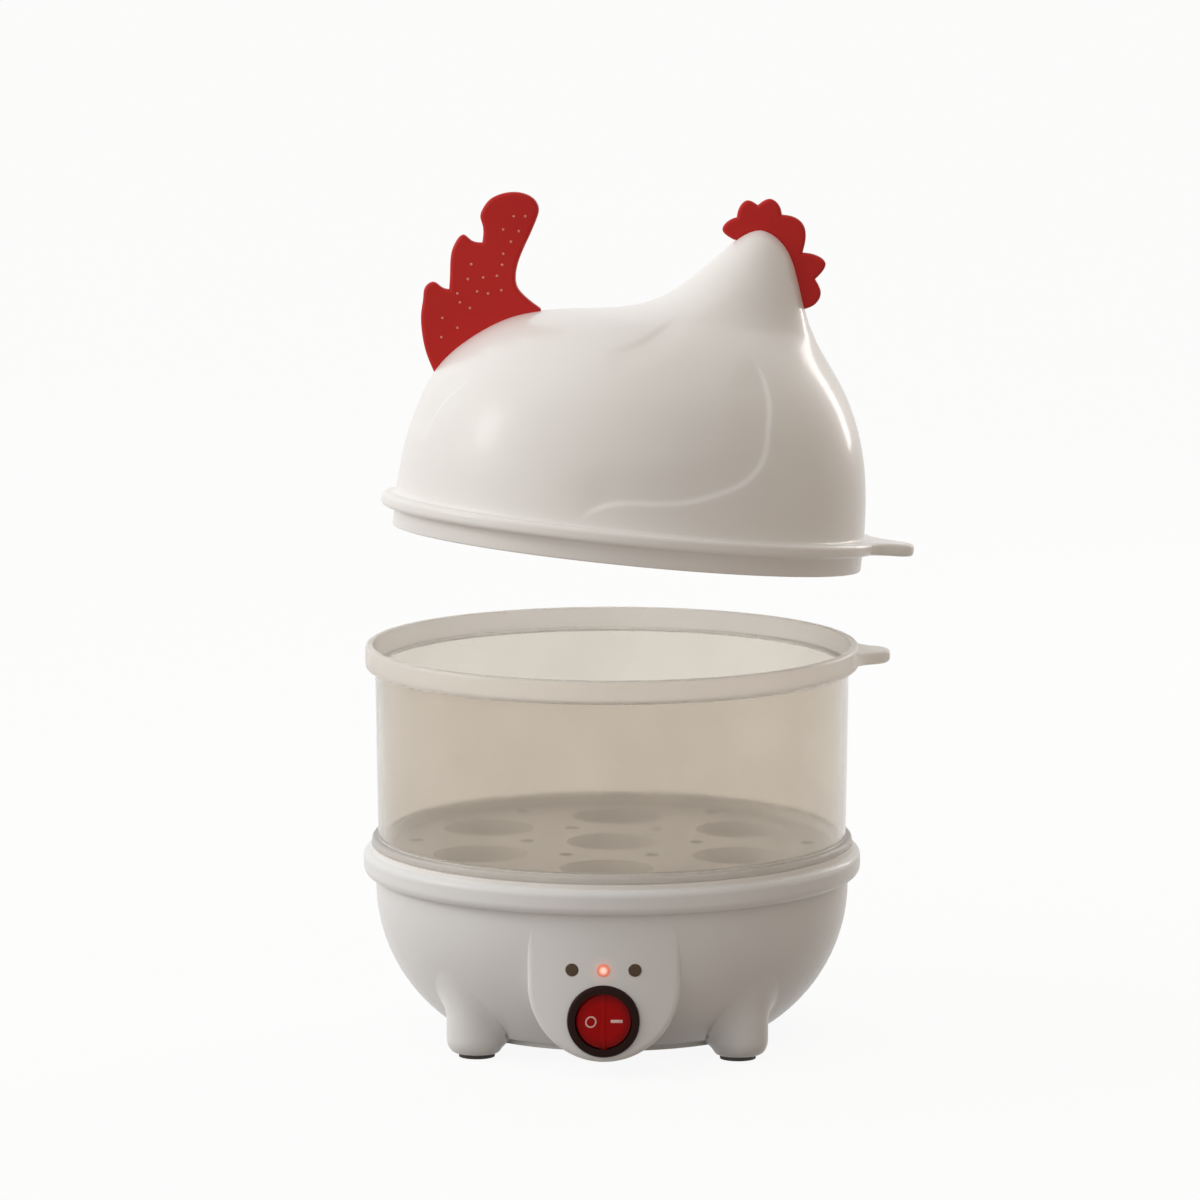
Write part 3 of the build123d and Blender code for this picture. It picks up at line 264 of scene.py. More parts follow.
def milky(name, clear_tone, frost_tone, roughness, clear, frost, below, above):
    """Milky clear plastic, frosted below one height and above another."""
    tree = Tree(name)
    height = tree.split(tree.coordinates)[2]
    top_band = tree.range(height, 0.0, 1.0, above - band_edge, above + band_edge)
    foot_band = tree.range(height, 1.0, 0.0, below - band_edge, below + band_edge)
    frosted = tree.math("MAXIMUM", top_band, foot_band)
    cloud = tree.range(tree.noise(40.0, 4.0), -cloud_depth, cloud_depth)
    tree.link(tree.mix(frosted, clear_tone, frost_tone), tree.shader.inputs["Base Color"])
    weight = tree.math("ADD", tree.range(frosted, clear, frost, 0.0, 1.0), cloud)
    tree.link(weight, tree.shader.inputs["Transmission Weight"])
    rough = tree.math("ADD", tree.range(frosted, roughness, roughness + frost_rough, 0.0, 1.0), cloud)
    tree.link(rough, tree.shader.inputs["Roughness"])
    tree.bump(tree.noise(120.0, 3.0), 0.00003)
    tree.set(IOR=1.4, Specular_IOR_Level=0.35)
    return tree


clear_bowl = milky(
    "clear_bowl", rgb(232, 225, 215), rgb(253, 248, 241), 0.08,
    clear=0.9, frost=0.58, below=0.0662, above=0.1208,
)
clear_rack = milky(
    "clear_rack", rgb(252, 249, 245), rgb(252, 249, 245), 0.4,
    clear=0.12, frost=0.12, below=0.0600, above=0.0640,
)


def distance_from(tree, point, stretch=(1.0, 1.0, 1.0)):
    """Distance from a point of the part's frame, with some directions counted less."""
    offset = tree.nodes.new("ShaderNodeVectorMath")
    offset.operation = "SUBTRACT"
    offset.inputs[1].default_value = point
    tree.link(tree.coordinates, offset.inputs[0])
    scaled = tree.nodes.new("ShaderNodeVectorMath")
    scaled.operation = "MULTIPLY"
    scaled.inputs[1].default_value = stretch
    tree.link(offset.outputs["Vector"], scaled.inputs[0])
    length = tree.nodes.new("ShaderNodeVectorMath")
    length.operation = "LENGTH"
    tree.link(scaled.outputs["Vector"], length.inputs[0])
    return length.outputs["Value"]


# Rocker: translucent red, with a faint painted red glow and a painted shade that darkens it towards its
# edge
# Its faint red emission is a painted glow, not light from any lamp
rocker_red = moulded(
    "rocker_red", rgb(150, 8, 8), rgb(132, 5, 6), 0.24, 800.0, 0.00002, spread=0.03,
    Specular_IOR_Level=0.08, Emission_Color=rgb(205, 12, 8), Emission_Strength=0.08,
)
rocker_middle = (0.0, -0.077, 0.0187)
# Painted shade: the red darkens to a deep red between these distances from the rocker's middle, where its
# recess is shaded
rocker_shade_start, rocker_shade_end = 0.0058, 0.0088
from_axis = distance_from(rocker_red, rocker_middle, (1.0, 0.0, 1.0))
rocker_edge_shade = rocker_red.range(from_axis, 0.0, 1.0, rocker_shade_start, rocker_shade_end)
rocker_cloud = rocker_red.range(rocker_red.noise(60.0), 0.0, 1.0)
rocker_tone = rocker_red.mix(rocker_cloud, rgb(166, 8, 9), rgb(150, 6, 7))
rocker_red.link(
    rocker_red.mix(rocker_edge_shade, rocker_tone, rgb(92, 8, 9)),
    rocker_red.shader.inputs["Base Color"],
)

# Lamp windows: the middle one glows from its core, with a painted glow on the panel around it, the outer
# two are dark
lamp_middle = (0.0, -0.0775, 0.0352)
core_start, core_end = 0.0006, 0.0016
painted_glow_start, painted_glow_end, painted_glow_level = 0.0018, 0.0052, 0.10
lamp_lit = moulded(
    "lamp_lit", rgb(206, 128, 104), rgb(196, 116, 94), 0.25, spread=0.02, Emission_Strength=0.75,
)
lamp_core = lamp_lit.range(distance_from(lamp_lit, lamp_middle), 0.0, 1.0, core_start, core_end)
lamp_lit.link(
    lamp_lit.mix(lamp_core, rgb(255, 226, 208), rgb(196, 92, 68)),
    lamp_lit.shader.inputs["Emission Color"],
)
# Painted glow: the white base itself emits a faint orange light that fades out around the middle lamp
white_base.set(Emission_Color=rgb(255, 92, 60))
white_base.link(
    white_base.range(distance_from(white_base, lamp_middle), painted_glow_level, 0.0, painted_glow_start, painted_glow_end),
    white_base.shader.inputs["Emission Strength"],
)
lamp_dark = moulded(
    "lamp_dark", rgb(100, 82, 67), rgb(88, 71, 58), 0.35, spread=0.02, Specular_IOR_Level=0.1,
)
neon_glass = moulded(
    "neon_glass", rgb(255, 214, 190), rgb(250, 196, 170), 0.12,
    Transmission_Weight=0.8, IOR=1.5,
)

# Each CAD node gets the material of its slot
finish = {
    "white_lid": white_lid, "white_base": white_base, "red_crest": red_crest, "clear_bowl": clear_bowl,
    "clear_rack": clear_rack, "pad_rubber": pad_rubber, "switch_black": switch_black,
    "rocker_red": rocker_red, "lamp_lit": lamp_lit, "lamp_dark": lamp_dark, "pan_steel": pan_steel,
    "seal_silicone": seal_silicone, "element_metal": element_metal, "bracket_steel": bracket_steel,
    "screw_steel": screw_steel, "terminal_brass": terminal_brass, "inner_plastic": inner_plastic,
    "neon_glass": neon_glass, "lead_brown": lead_brown, "lead_blue": lead_blue, "lead_green": lead_green,
}
for row in frame["record"]["subparts"]:
    for slot in nodes[row["node"]].material_slots:
        slot.material = finish[row["material_slot"]].material


# Lid's own frame: middle of the flange, tilted as the photograph shows it held
tilt_bearing = math.radians(124.2)
lid_tilt = math.radians(6.77)
tilt_axis = Vector((math.cos(tilt_bearing), math.sin(tilt_bearing), 0.0))
lid_turn = Matrix.Rotation(lid_tilt, 4, tilt_axis)
lid_shift = 6.6 * MM
lid_middle = 167.9 * MM
lid_place = Matrix.Translation((
    lid_shift * math.sin(tilt_bearing), -lid_shift * math.cos(tilt_bearing), lid_middle)) @ lid_turn
side_place = lid_place @ Matrix.Rotation(math.pi / 2, 4, "X")

# Slices of the hen: height, rear, front, centre and half width, as shares of the sizes below
dome_radius = 76.6
hen_height = 99.2
hen_slices = np.array((
    (0.000, -1.000, 1.000, 0.000, 1.000),
    (0.121, -0.992, 0.992, 0.000, 0.992),
    (0.242, -0.967, 0.973, 0.000, 0.969),
    (0.343, -0.931, 0.940, 0.000, 0.932),
    (0.433, -0.883, 0.894, 0.000, 0.879),
    (0.524, -0.783, 0.826, 0.000, 0.777),
    (0.600, -0.653, 0.753, 0.000, 0.653),
    (0.645, -0.538, 0.713, 0.026, 0.540),
    (0.677, -0.281, 0.692, 0.130, 0.432),
    (0.698, -0.091, 0.675, 0.228, 0.378),
    (0.728, 0.016, 0.659, 0.287, 0.326),
    (0.768, 0.095, 0.640, 0.339, 0.283),
    (0.817, 0.159, 0.620, 0.379, 0.240),
    (0.865, 0.225, 0.598, 0.405, 0.197),
    (0.919, 0.289, 0.572, 0.424, 0.152),
    (0.958, 0.333, 0.539, 0.435, 0.116),
    (0.988, 0.377, 0.487, 0.435, 0.065),
    (1.000, 0.432, 0.432, 0.432, 0.000),
))
hen_slices = hen_slices * np.array((hen_height, dome_radius, dome_radius, dome_radius, dome_radius))


def cubic(knots, values, at):
    """Natural cubic spline through values at knots, read at the given places."""
    knots = np.asarray(knots, float)
    values = np.asarray(values, float)
    count = len(knots)
    step = np.diff(knots)
    table = np.eye(count)
    right = np.zeros_like(values)
    for k in range(1, count - 1):
        table[k, k - 1:k + 2] = (step[k - 1], 2 * (step[k - 1] + step[k]), step[k])
        right[k] = 6 * ((values[k + 1] - values[k]) / step[k] - (values[k] - values[k - 1]) / step[k - 1])
    bend = np.linalg.solve(table, right)
    k = np.clip(np.searchsorted(knots, at) - 1, 0, count - 2)
    shape = (-1,) + (1,) * (values.ndim - 1)
    h = step[k].reshape(shape)
    a = ((knots[k + 1] - at).reshape(shape)) / h
    b = 1 - a
    return (a * values[k] + b * values[k + 1]
            + ((a ** 3 - a) * bend[k] + (b ** 3 - b) * bend[k + 1]) * h ** 2 / 6)


def chord_knots(points):
    """Distances along a run of points."""
    steps = np.sqrt((np.diff(np.asarray(points, float), axis=0) ** 2).sum(axis=1))
    return np.concatenate(((0.0,), np.cumsum(steps)))


hen_weights = np.array((1.0, 0.577, 0.577, 0.0, 0.577))
hen_knots = chord_knots(hen_slices * hen_weights)


fine_count = 2000        # samples up the hen that its eased rows are read from
ease_count = 321         # samples under the bell curve that eases them
low_count = 400          # samples of its low part, where height only rises


def hen_rows(count, start=0.0):
    """Slices evenly spaced up the hen, from a height above the flange's middle, eased by a bell curve."""
    fine = np.linspace(0.0, hen_knots[-1], fine_count)
    values = cubic(hen_knots, hen_slices, fine)
    weights = np.exp(-0.5 * np.linspace(-2.5, 2.5, ease_count) ** 2)
    weights /= weights.sum()
    edge = len(weights) // 2
    before = 2 * values[0] - values[edge:0:-1]
    after = 2 * values[-1] - values[-2:-edge - 2:-1]
    padded = np.concatenate((before, values, after))
    eased = np.stack([np.convolve(padded[:, k], weights, "valid") for k in range(values.shape[1])], axis=1)
    first = np.interp(start, eased[:low_count, 0], fine[:low_count])
    at = np.linspace(first, hen_knots[-1], count)
    return np.stack([np.interp(at, fine, eased[:, k]) for k in range(values.shape[1])], axis=1)


def ring_points(rows, columns, skin=0.0):
    """Grid of points on the slices: one half ellipse to the front and one to the rear."""
    angle = np.linspace(0.0, 2 * math.pi, columns, endpoint=False)
    across, along = np.sin(angle), np.cos(angle)
    grid = np.zeros((len(rows), columns, 3))
    for k, (height, rear, front, centre, half) in enumerate(rows):
        reach = np.where(along >= 0, max(front - centre - skin, 0.0), max(centre - rear - skin, 0.0))
        grid[k, :, 0] = centre + reach * along
        grid[k, :, 1] = max(half - skin, 0.0) * across
        grid[k, :, 2] = height * (hen_height - skin) / hen_height
    return grid


def grid_normals(grid):
    """Outward directions on a closed grid of rings."""
    along = np.roll(grid, -1, axis=1) - np.roll(grid, 1, axis=1)
    up = np.gradient(grid, axis=0)
    out = np.cross(along, up)
    return out / np.maximum(np.linalg.norm(out, axis=2, keepdims=True), 1e-9)


def near_run(points, run):
    """Signed distance to a run of points in the side view and the share of its length there."""
    run = np.asarray(run, float)
    lengths = chord_knots(run)
    best = np.full(len(points), 1e9)
    signed = np.zeros(len(points))
    share = np.zeros(len(points))
    for k in range(len(run) - 1):
        edge = run[k + 1] - run[k]
        size = np.linalg.norm(edge)
        offset = points - run[k]
        t = np.clip((offset @ edge) / size ** 2, 0.0, 1.0)
        gap = offset - t[:, None] * edge
        distance = np.linalg.norm(gap, axis=1)
        side = np.sign(edge[0] * offset[:, 1] - edge[1] * offset[:, 0])
        closer = distance < best
        best = np.where(closer, distance, best)
        signed = np.where(closer, distance * side, signed)
        share = np.where(closer, (lengths[k] + t * size) / lengths[-1], share)
    return signed, share


def smooth(value, low, high):
    """Soft step from 0 at low to 1 at high."""
    t = np.clip((value - low) / (high - low), 0.0, 1.0)
    return t * t * (3 - 2 * t)


def fine_run(run, count=60):
    """Many points on a smooth curve through a few."""
    knots = chord_knots(run)
    return cubic(knots, np.asarray(run, float), np.linspace(0.0, knots[-1], count))


# Moulded feather lines on both flanks, in the side view: x and height in the lid's frame
wing_line = fine_run((
    (-15.3, 2.6), (-12.0, 6.3), (-4.0, 10.4), (4.3, 11.5), (12.6, 12.2), (20.8, 13.6), (24.9, 15.0),
    (31.0, 17.5), (38.5, 22.5), (42.0, 29.0), (42.4, 37.2), (41.9, 45.2), (39.6, 52.1), (35.3, 58.2),
    (30.7, 61.3),
), 90)
rear_line = fine_run((
    (-66.9, 21.0), (-66.0, 27.0), (-64.0, 32.0), (-60.6, 36.9), (-57.4, 40.4), (-53.6, 43.5),
))
fold_line = fine_run((
    (-13.0, 56.4), (-9.1, 57.6), (-2.0, 60.3), (3.8, 64.5), (9.1, 68.9), (13.0, 71.5),
))
wing_depth, rear_depth, fold_depth = 0.85, 0.9, 0.4
line_half, fold_half = 0.55, 1.2     # half the width of a line's steep side


def feather_relief(grid):
    """Inward depth of the feather lines at each point of the outer face, in millimetres."""
    points = grid.reshape(-1, 3)[:, (0, 2)]
    flank = np.abs(grid.reshape(-1, 3)[:, 1])
    signed, share = near_run(points, wing_line)
    ends = smooth(share, 0.0, 0.12) * (1 - smooth(share, 0.86, 1.0))
    step = smooth(signed, -line_half, line_half)
    depth = wing_depth * step * (1 - smooth(signed, 0.4, 15.0)) * ends
    signed, share = near_run(points, rear_line)
    ends = smooth(share, 0.0, 0.25) * (1 - smooth(share, 0.7, 1.0))
    step = smooth(signed, -line_half, line_half)
    depth += rear_depth * step * (1 - smooth(signed, 0.4, 9.0)) * ends
    signed, share = near_run(points, fold_line)
    ends = smooth(share, 0.0, 0.3) * (1 - smooth(share, 0.6, 1.0))
    step = smooth(-signed, -fold_half, fold_half)
    depth += fold_depth * step * (1 - smooth(-signed, 1.0, 10.0)) * ends
    return (depth * smooth(flank, 2.0, 8.0)).reshape(grid.shape[:2])


edge_angle = 0.6         # edges sharper than this stay sharp, in radians


def new_object(name, vertices, faces, matrix, material, sharp=edge_angle):
    """Smooth mesh object from points in metres, placed by a matrix."""
    mesh = bpy.data.meshes.new(name)
    mesh.from_pydata([tuple(v) for v in vertices], [], faces)
    mesh.transform(matrix)
    mesh.materials.append(material)
    mesh.shade_smooth()
    mesh.set_sharp_from_angle(angle=sharp)
    mesh.update()
    made = bpy.data.objects.new(name, mesh)
    scene.collection.objects.link(made)
    return made


def arc_points(centre, radius, start, end, count):
    """Points of an arc about a centre, between two angles in degrees."""
    angles = np.radians(np.linspace(start, end, count))
    return [(centre[0] + radius * math.cos(a), centre[1] + radius * math.sin(a)) for a in angles]


def ring_faces(first, next_first, turns):
    """Faces between two rings of points, given by the numbers of their first points."""
    faces = []
    for c in range(turns):
        d = (c + 1) % turns
        faces.append((first + c, first + d, next_first + d, next_first + c))
    return faces


# Hen shell: inner skin, skirt, flange bead and outer face in one closed skin.
# The section from skin to skin is given by radius and height in the lid's frame.
columns = 600
outer_rows, inner_rows = 176, 34
outer_start, lid_wall = 3.0, 2.0
outer = ring_points(hen_rows(outer_rows, outer_start), columns)
outer -= grid_normals(outer) * feather_relief(outer)[:, :, None]
inner = ring_points(hen_rows(inner_rows), columns, lid_wall)[::-1]
section = (
    [(74.6, 0.05), (74.0, 0.0), (73.7, -0.1), (73.6, -0.4), (73.6, -4.0)]
    + arc_points((74.2, -7.9), 0.6, 180, 270, 4) + arc_points((75.8, -7.9), 0.6, 270, 360, 4)
    + [(76.4, -5.0), (76.4, -3.2)] + arc_points((77.2, -3.0), 0.8, 180, 90, 4)
    + arc_points((79.3, -0.6), 1.6, 270, 360, 7) + arc_points((79.3, 0.6), 1.6, 0, 90, 7)
    + arc_points((77.3, 3.0), 0.8, 270, 180, 4)[:-1]
)
turn = np.linspace(0.0, 2 * math.pi, columns, endpoint=False)
ring = np.array([[(r * math.cos(a), r * math.sin(a), z) for a in turn] for r, z in section])
rings = np.concatenate((inner[1:], ring, outer[:-1])) * MM
count = len(rings)
vertices = list(rings.reshape(-1, 3))
faces = []
for k in range(count - 1):
    faces.extend(ring_faces(k * columns, (k + 1) * columns, columns))
vertices.append(inner[0].mean(axis=0) * MM)
vertices.append(outer[-1].mean(axis=0) * MM)
for c in range(columns):
    d = (c + 1) % columns
    faces.append((count * columns, d, c))
    faces.append((count * columns + 1, (count - 1) * columns + c, (count - 1) * columns + d))
lid_edge_angle = 0.9
lid = new_object("hen_lid", vertices, faces, lid_place, white_lid.material, lid_edge_angle)


plate_edge_angle = 0.7


def plate(name, outline, half, bevel, matrix, material):
    """Flat plate with rounded edges from an outline in millimetres."""
    curve = bpy.data.curves.new(name, "CURVE")
    curve.dimensions = "2D"
    curve.fill_mode = "BOTH"
    curve.extrude = (half - bevel) * MM
    curve.bevel_depth = bevel * MM
    curve.bevel_resolution = 4
    curve.offset = -bevel * MM
    spline = curve.splines.new("POLY")
    spline.points.add(len(outline) - 1)
    for point, (x, y) in zip(spline.points, outline):
        point.co = (x * MM, y * MM, 0.0, 1.0)
    spline.use_cyclic_u = True
    flat = bpy.data.objects.new(name + "_outline", curve)
    scene.collection.objects.link(flat)
    mesh = bpy.data.meshes.new_from_object(flat.evaluated_get(bpy.context.evaluated_depsgraph_get()))
    bpy.data.objects.remove(flat)
    mesh.name = name
    mesh.transform(matrix)
    mesh.materials.clear()
    mesh.materials.append(material)
    mesh.shade_smooth()
    mesh.set_sharp_from_angle(angle=plate_edge_angle)
    made = bpy.data.objects.new(name, mesh)
    scene.collection.objects.link(made)
    return made


def runs_outline(runs, rear, foot, length, height):
    """Outline through runs of shares of a crest's length and height, one cusp between runs."""
    points = []
    for run in runs:
        places = np.array([(rear + s * length, foot + t * height) for s, t in run])
        points.extend(fine_run(places, 10 * len(run))[(1 if points else 0):])
    return points


def side_curve(start, start_lean, end, end_lean, count=20):
    """Points of a Hermite curve between two points, without its ends."""
    reach = np.linalg.norm(np.subtract(end, start))
    start_lean = np.array(start_lean) / np.linalg.norm(start_lean) * reach
    end_lean = np.array(end_lean) / np.linalg.norm(end_lean) * reach
    t = np.linspace(0.0, 1.0, count)[1:-1, None]
    points = ((2 * t ** 3 - 3 * t ** 2 + 1) * np.array(start) + (t ** 3 - 2 * t ** 2 + t) * start_lean
              + (3 * t ** 2 - 2 * t ** 3) * np.array(end) + (t ** 3 - t ** 2) * end_lean)
    return [tuple(p) for p in points]


# Finger tabs that flow out of the lid's flange and out of the bowl's rim
tab_half, tip_half, tip_round = 22.0, 8.0, 5.0
tab_half_wall, tab_bevel, tab_sink = 2.0, 1.2, 1.7
lid_tab_root, lid_tab_end = 80.0, 92.9
bowl_tab_root, bowl_tab_end, bowl_tab_middle = 79.8, 90.4, 124.9


def tab_outline(root, end):
    """Outline of a tab that leaves a ring of the root's radius and ends at a given reach."""
    tip_radius = (tip_half ** 2 + tip_round ** 2) / (2 * tip_round)
    tip_sweep = math.degrees(math.asin(tip_half / tip_radius))
    tip = arc_points((end - tip_radius, 0.0), tip_radius, -tip_sweep, tip_sweep, 24)
    root_sweep = math.degrees(math.asin(tab_half / root))
    foot = arc_points((0.0, 0.0), root - tab_sink, root_sweep, -root_sweep, 24)
    start = (math.sqrt(root ** 2 - tab_half ** 2), -tab_half)
    tip_lean = (tip_half, tip_radius - tip_round)
    side = [start] + side_curve(start, (tab_half, start[0]), tip[0], tip_lean)
    return foot + side + tip + [(x, -y) for x, y in side[::-1]]


lid_tab_line = tab_outline(lid_tab_root, lid_tab_end)
tab = plate("lid_tab", lid_tab_line, tab_half_wall, tab_bevel, lid_place, white_lid.material)


# Bowl: one turned skin with its finger tab joined on
def rounded_loop(corners, count=6, margin=0.2):
    """Closed section through corners given by radius, height and round."""
    points = []
    for number, (radius, height, round_radius) in enumerate(corners):
        here = np.array((radius, height))
        back = np.array(corners[number - 1][:2]) - here
        back /= np.linalg.norm(back)
        on = np.array(corners[(number + 1) % len(corners)][:2]) - here
        on /= np.linalg.norm(on)
        half = 0.5 * math.acos(np.dot(back, on))
        reach = round_radius / math.tan(half)
        middle = (back + on) / np.linalg.norm(back + on)
        centre = here + middle * round_radius / math.sin(half)
        start = here + back * reach - centre
        end = here + on * reach - centre
        first = math.atan2(start[1], start[0])
        sweep = math.remainder(math.atan2(end[1], end[0]) - first, 2 * math.pi)
        points.append(here + back * (reach + margin))
        for angle in np.linspace(first, first + sweep, count):
            points.append(centre + round_radius * np.array((math.cos(angle), math.sin(angle))))
        points.append(here + on * (reach + margin))
    return points


# From the inner corner of the foot, round the foot bead, wall, rim band and ledge for the lid's skirt
bowl_section = rounded_loop((
    (74.2, 63.0, 0.3), (78.2, 63.0, 0.3), (78.2, 65.6, 1.0), (76.24, 65.6, 0.4),
    (77.08, 120.9, 0.4), (80.2, 120.9, 1.3), (80.2, 128.5, 1.3), (77.6, 128.5, 0.5),
    (77.6, 121.7, 0.3), (75.1, 121.7, 0.3),
))
bowl_columns = 480
turn = np.linspace(0.0, 2 * math.pi, bowl_columns, endpoint=False)
vertices = [(r * math.cos(a) * MM, r * math.sin(a) * MM, z * MM) for r, z in bowl_section for a in turn]
faces = []
for k in range(len(bowl_section)):
    next_ring = (k + 1) % len(bowl_section)
    faces.extend(ring_faces(k * bowl_columns, next_ring * bowl_columns, bowl_columns))
bowl = new_object("bowl_skin", vertices, faces, Matrix.Identity(4), clear_bowl.material)
bowl_tab_place = Matrix.Translation((0.0, 0.0, bowl_tab_middle * MM))
bowl_tab_line = tab_outline(bowl_tab_root, bowl_tab_end)
bowl_tab = plate("bowl_tab", bowl_tab_line, tab_half_wall, tab_bevel, bowl_tab_place, clear_bowl.material)
join = bowl.modifiers.new("join", "BOOLEAN")
join.operation = "UNION"
join.solver = "EXACT"
join.object = bowl_tab
joined = bpy.data.meshes.new_from_object(bowl.evaluated_get(bpy.context.evaluated_depsgraph_get()))
bowl.modifiers.clear()
bowl.data = joined
bpy.data.objects.remove(bowl_tab)
joined.shade_smooth()
joined.set_sharp_from_angle(angle=edge_angle)
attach(bowl, "bowl")
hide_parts("steamer_bowl")

# Tail and comb, their roots just inside the shell's wall
root_rows = hen_rows(400)
tail_rear, tail_foot, tail_length, tail_height = -73.92, 42.06, 38.4, 60.0
tail_runs = (
    ((0.156, 0.000), (0.073, 0.102), (0.023, 0.205), (0.000, 0.320), (0.005, 0.390),
     (0.018, 0.457), (0.076, 0.482), (0.154, 0.457), (0.216, 0.450)),
    ((0.216, 0.450), (0.211, 0.528), (0.203, 0.633), (0.224, 0.698), (0.292, 0.752),
     (0.357, 0.727), (0.456, 0.720)),
    ((0.456, 0.720), (0.443, 0.815), (0.417, 0.862), (0.430, 0.900), (0.487, 0.958),
     (0.544, 0.983), (0.799, 1.000), (0.862, 0.977), (0.901, 0.935), (0.893, 0.882),
     (0.8125, 0.722), (0.763, 0.573), (0.784, 0.505), (0.854, 0.457), (1.000, 0.398)),
)
tail_line = runs_outline(tail_runs, tail_rear, tail_foot, tail_length, tail_height)
root_depth = 1.2
tail_half, tail_bevel = 2.8, 1.3
tail_root = []
for x in np.linspace(tail_line[-1][0], tail_line[0][0], 24):
    height = np.interp(x, root_rows[:, 1], root_rows[:, 0])
    tail_root.append((x + 0.5 * root_depth, height - root_depth))
tail_outline = [tuple(p) for p in tail_line] + tail_root
tail = plate("hen_tail", tail_outline, tail_half, tail_bevel, side_place, red_crest.material)

comb_rear, comb_foot, comb_length, comb_height = 20.53, 74.5, 34.4, 34.2
comb_runs = (
    ((0.116, 0.582), (0.000, 0.673), (0.067, 0.769), (0.122, 0.795)),
    ((0.122, 0.795), (0.140, 0.895), (0.198, 0.962), (0.308, 0.930)),
    ((0.308, 0.930), (0.422, 1.000), (0.515, 0.939), (0.544, 0.863)),
    ((0.544, 0.863), (0.640, 0.857), (0.759, 0.781), (0.785, 0.705), (0.773, 0.526)),
    ((0.773, 0.526), (0.878, 0.520), (1.000, 0.439), (0.977, 0.368), (0.916, 0.289)),
    ((0.916, 0.289), (0.983, 0.146), (0.924, 0.038), (0.855, 0.000)),
)
comb_line = runs_outline(comb_runs, comb_rear, comb_foot, comb_length, comb_height)
comb_root_top = 97.0
comb_half, comb_bevel = 2.5, 1.2
comb_root = []
for height in np.linspace(comb_line[-1][1], comb_root_top, 16):
    comb_root.append((np.interp(height, root_rows[:, 0], root_rows[:, 2]) - root_depth, height))
for height in np.linspace(comb_root_top, comb_line[0][1], 5):
    comb_root.append((np.interp(height, root_rows[:, 0], root_rows[:, 1]) + root_depth, height))
comb_outline = [tuple(p) for p in comb_line] + comb_root
comb = plate("hen_comb", comb_outline, comb_half, comb_bevel, side_place, red_crest.material)

# Small dots moulded on both faces of the tail, coloured pale as a painted highlight
dot_places = (
    (-47.0, 94.8), (-43.3, 95.2), (-50.0, 90.2), (-44.9, 90.2), (-47.1, 86.5), (-49.2, 82.4), (-59.2, 78.0),
    (-49.2, 78.8), (-59.8, 73.1), (-54.9, 74.1), (-50.5, 75.1), (-56.4, 69.4), (-52.8, 69.1), (-48.6, 70.6),
    (-62.7, 68.1), (-61.6, 65.3), (-58.2, 63.8), (-66.8, 59.7), (-61.6, 57.0), (-66.5, 53.5),
)
dot_radius, dot_rise, dot_foot = 0.45, 0.3, 2.75
dot_sides, dot_rings = 12, 4
vertices, faces = [], []
for x, z in dot_places:
    for face_side in (-1, 1):
        first = len(vertices)
        for k in range(dot_rings):
            lean = 0.5 * math.pi * k / dot_rings
            for c in range(dot_sides):
                a = 2 * math.pi * c / dot_sides
                vertices.append((
                    (x + dot_radius * math.cos(lean) * math.cos(a)) * MM,
                    face_side * (dot_foot + dot_rise * math.sin(lean)) * MM,
                    (z + dot_radius * math.cos(lean) * math.sin(a)) * MM,
                ))
        vertices.append((x * MM, face_side * (dot_foot + dot_rise) * MM, z * MM))
        for k in range(dot_rings):
            for c in range(dot_sides):
                d = (c + 1) % dot_sides
                low_c, low_d = first + k * dot_sides + c, first + k * dot_sides + d
                if k < dot_rings - 1:
                    loop = (low_c, low_d, low_d + dot_sides, low_c + dot_sides)
                else:
                    loop = (low_c, low_d, first + dot_rings * dot_sides)
                faces.append(loop if face_side < 0 else loop[::-1])
dots = new_object("tail_dots", vertices, faces, lid_place, painted_highlight_dots.material)

for piece in (lid, tab, tail, comb, dots):
    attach(piece, "lid")
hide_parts("lid_shell")
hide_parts("tail")
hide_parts("comb")

# Marks inlaid in the rocker's grooves: a ring on the raised end and a bar on the pressed end
valley = Vector((0.0, -76.5 * MM, 18.7 * MM))
slope = math.radians(20.0)
mark_place, mark_size, mark_line, mark_depth = 4.2 * MM, 1.9 * MM, 0.5 * MM, 0.3 * MM
mark_proud, mark_edge = 0.04 * MM, 0.06 * MM
upright = Matrix.Rotation(math.pi / 2, 4, "X")
on_place = Matrix.Translation(valley + Vector((mark_place, 0.0, 0.0))) @ upright
off_axis = Vector((math.cos(slope), math.sin(slope), 0.0))
off_place = Matrix.Translation(valley - off_axis * mark_place) @ Matrix.Rotation(slope, 4, "Z") @ upright
mark_section = (
    (mark_size, -mark_depth), (mark_size, 0.0), (mark_size - mark_edge, mark_proud),
    (mark_size - mark_line + mark_edge, mark_proud), (mark_size - mark_line, 0.0),
    (mark_size - mark_line, -mark_depth),
)
vertices, faces = [], []
mark_turns = 48
for c in range(mark_turns):
    a = 2 * math.pi * c / mark_turns
    for radius, height in mark_section:
        vertices.append((radius * math.cos(a), radius * math.sin(a), height))
size = len(mark_section)
for c in range(mark_turns):
    d = (c + 1) % mark_turns
    for k in range(size):
        n = (k + 1) % size
        faces.append((c * size + k, d * size + k, d * size + n, c * size + n))
off_mark = new_object("off_mark", vertices, faces, off_place, mark_white.material)

vertices, faces = [], []
bar_layers = ((0.0, -mark_depth), (0.0, 0.0), (mark_edge, mark_proud))
for inset, height in bar_layers:
    for along, across in ((-1, -1), (1, -1), (1, 1), (-1, 1)):
        vertices.append((along * (mark_size - inset), across * (mark_line - inset), height))
for k in range(len(bar_layers) - 1):
    faces.extend(ring_faces(4 * k, 4 * (k + 1), 4))
faces.append((3, 2, 1, 0))
faces.append((8, 9, 10, 11))
on_mark = new_object("on_mark", vertices, faces, on_place, mark_white.material)
for piece in (off_mark, on_mark):
    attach(piece, "rocker")


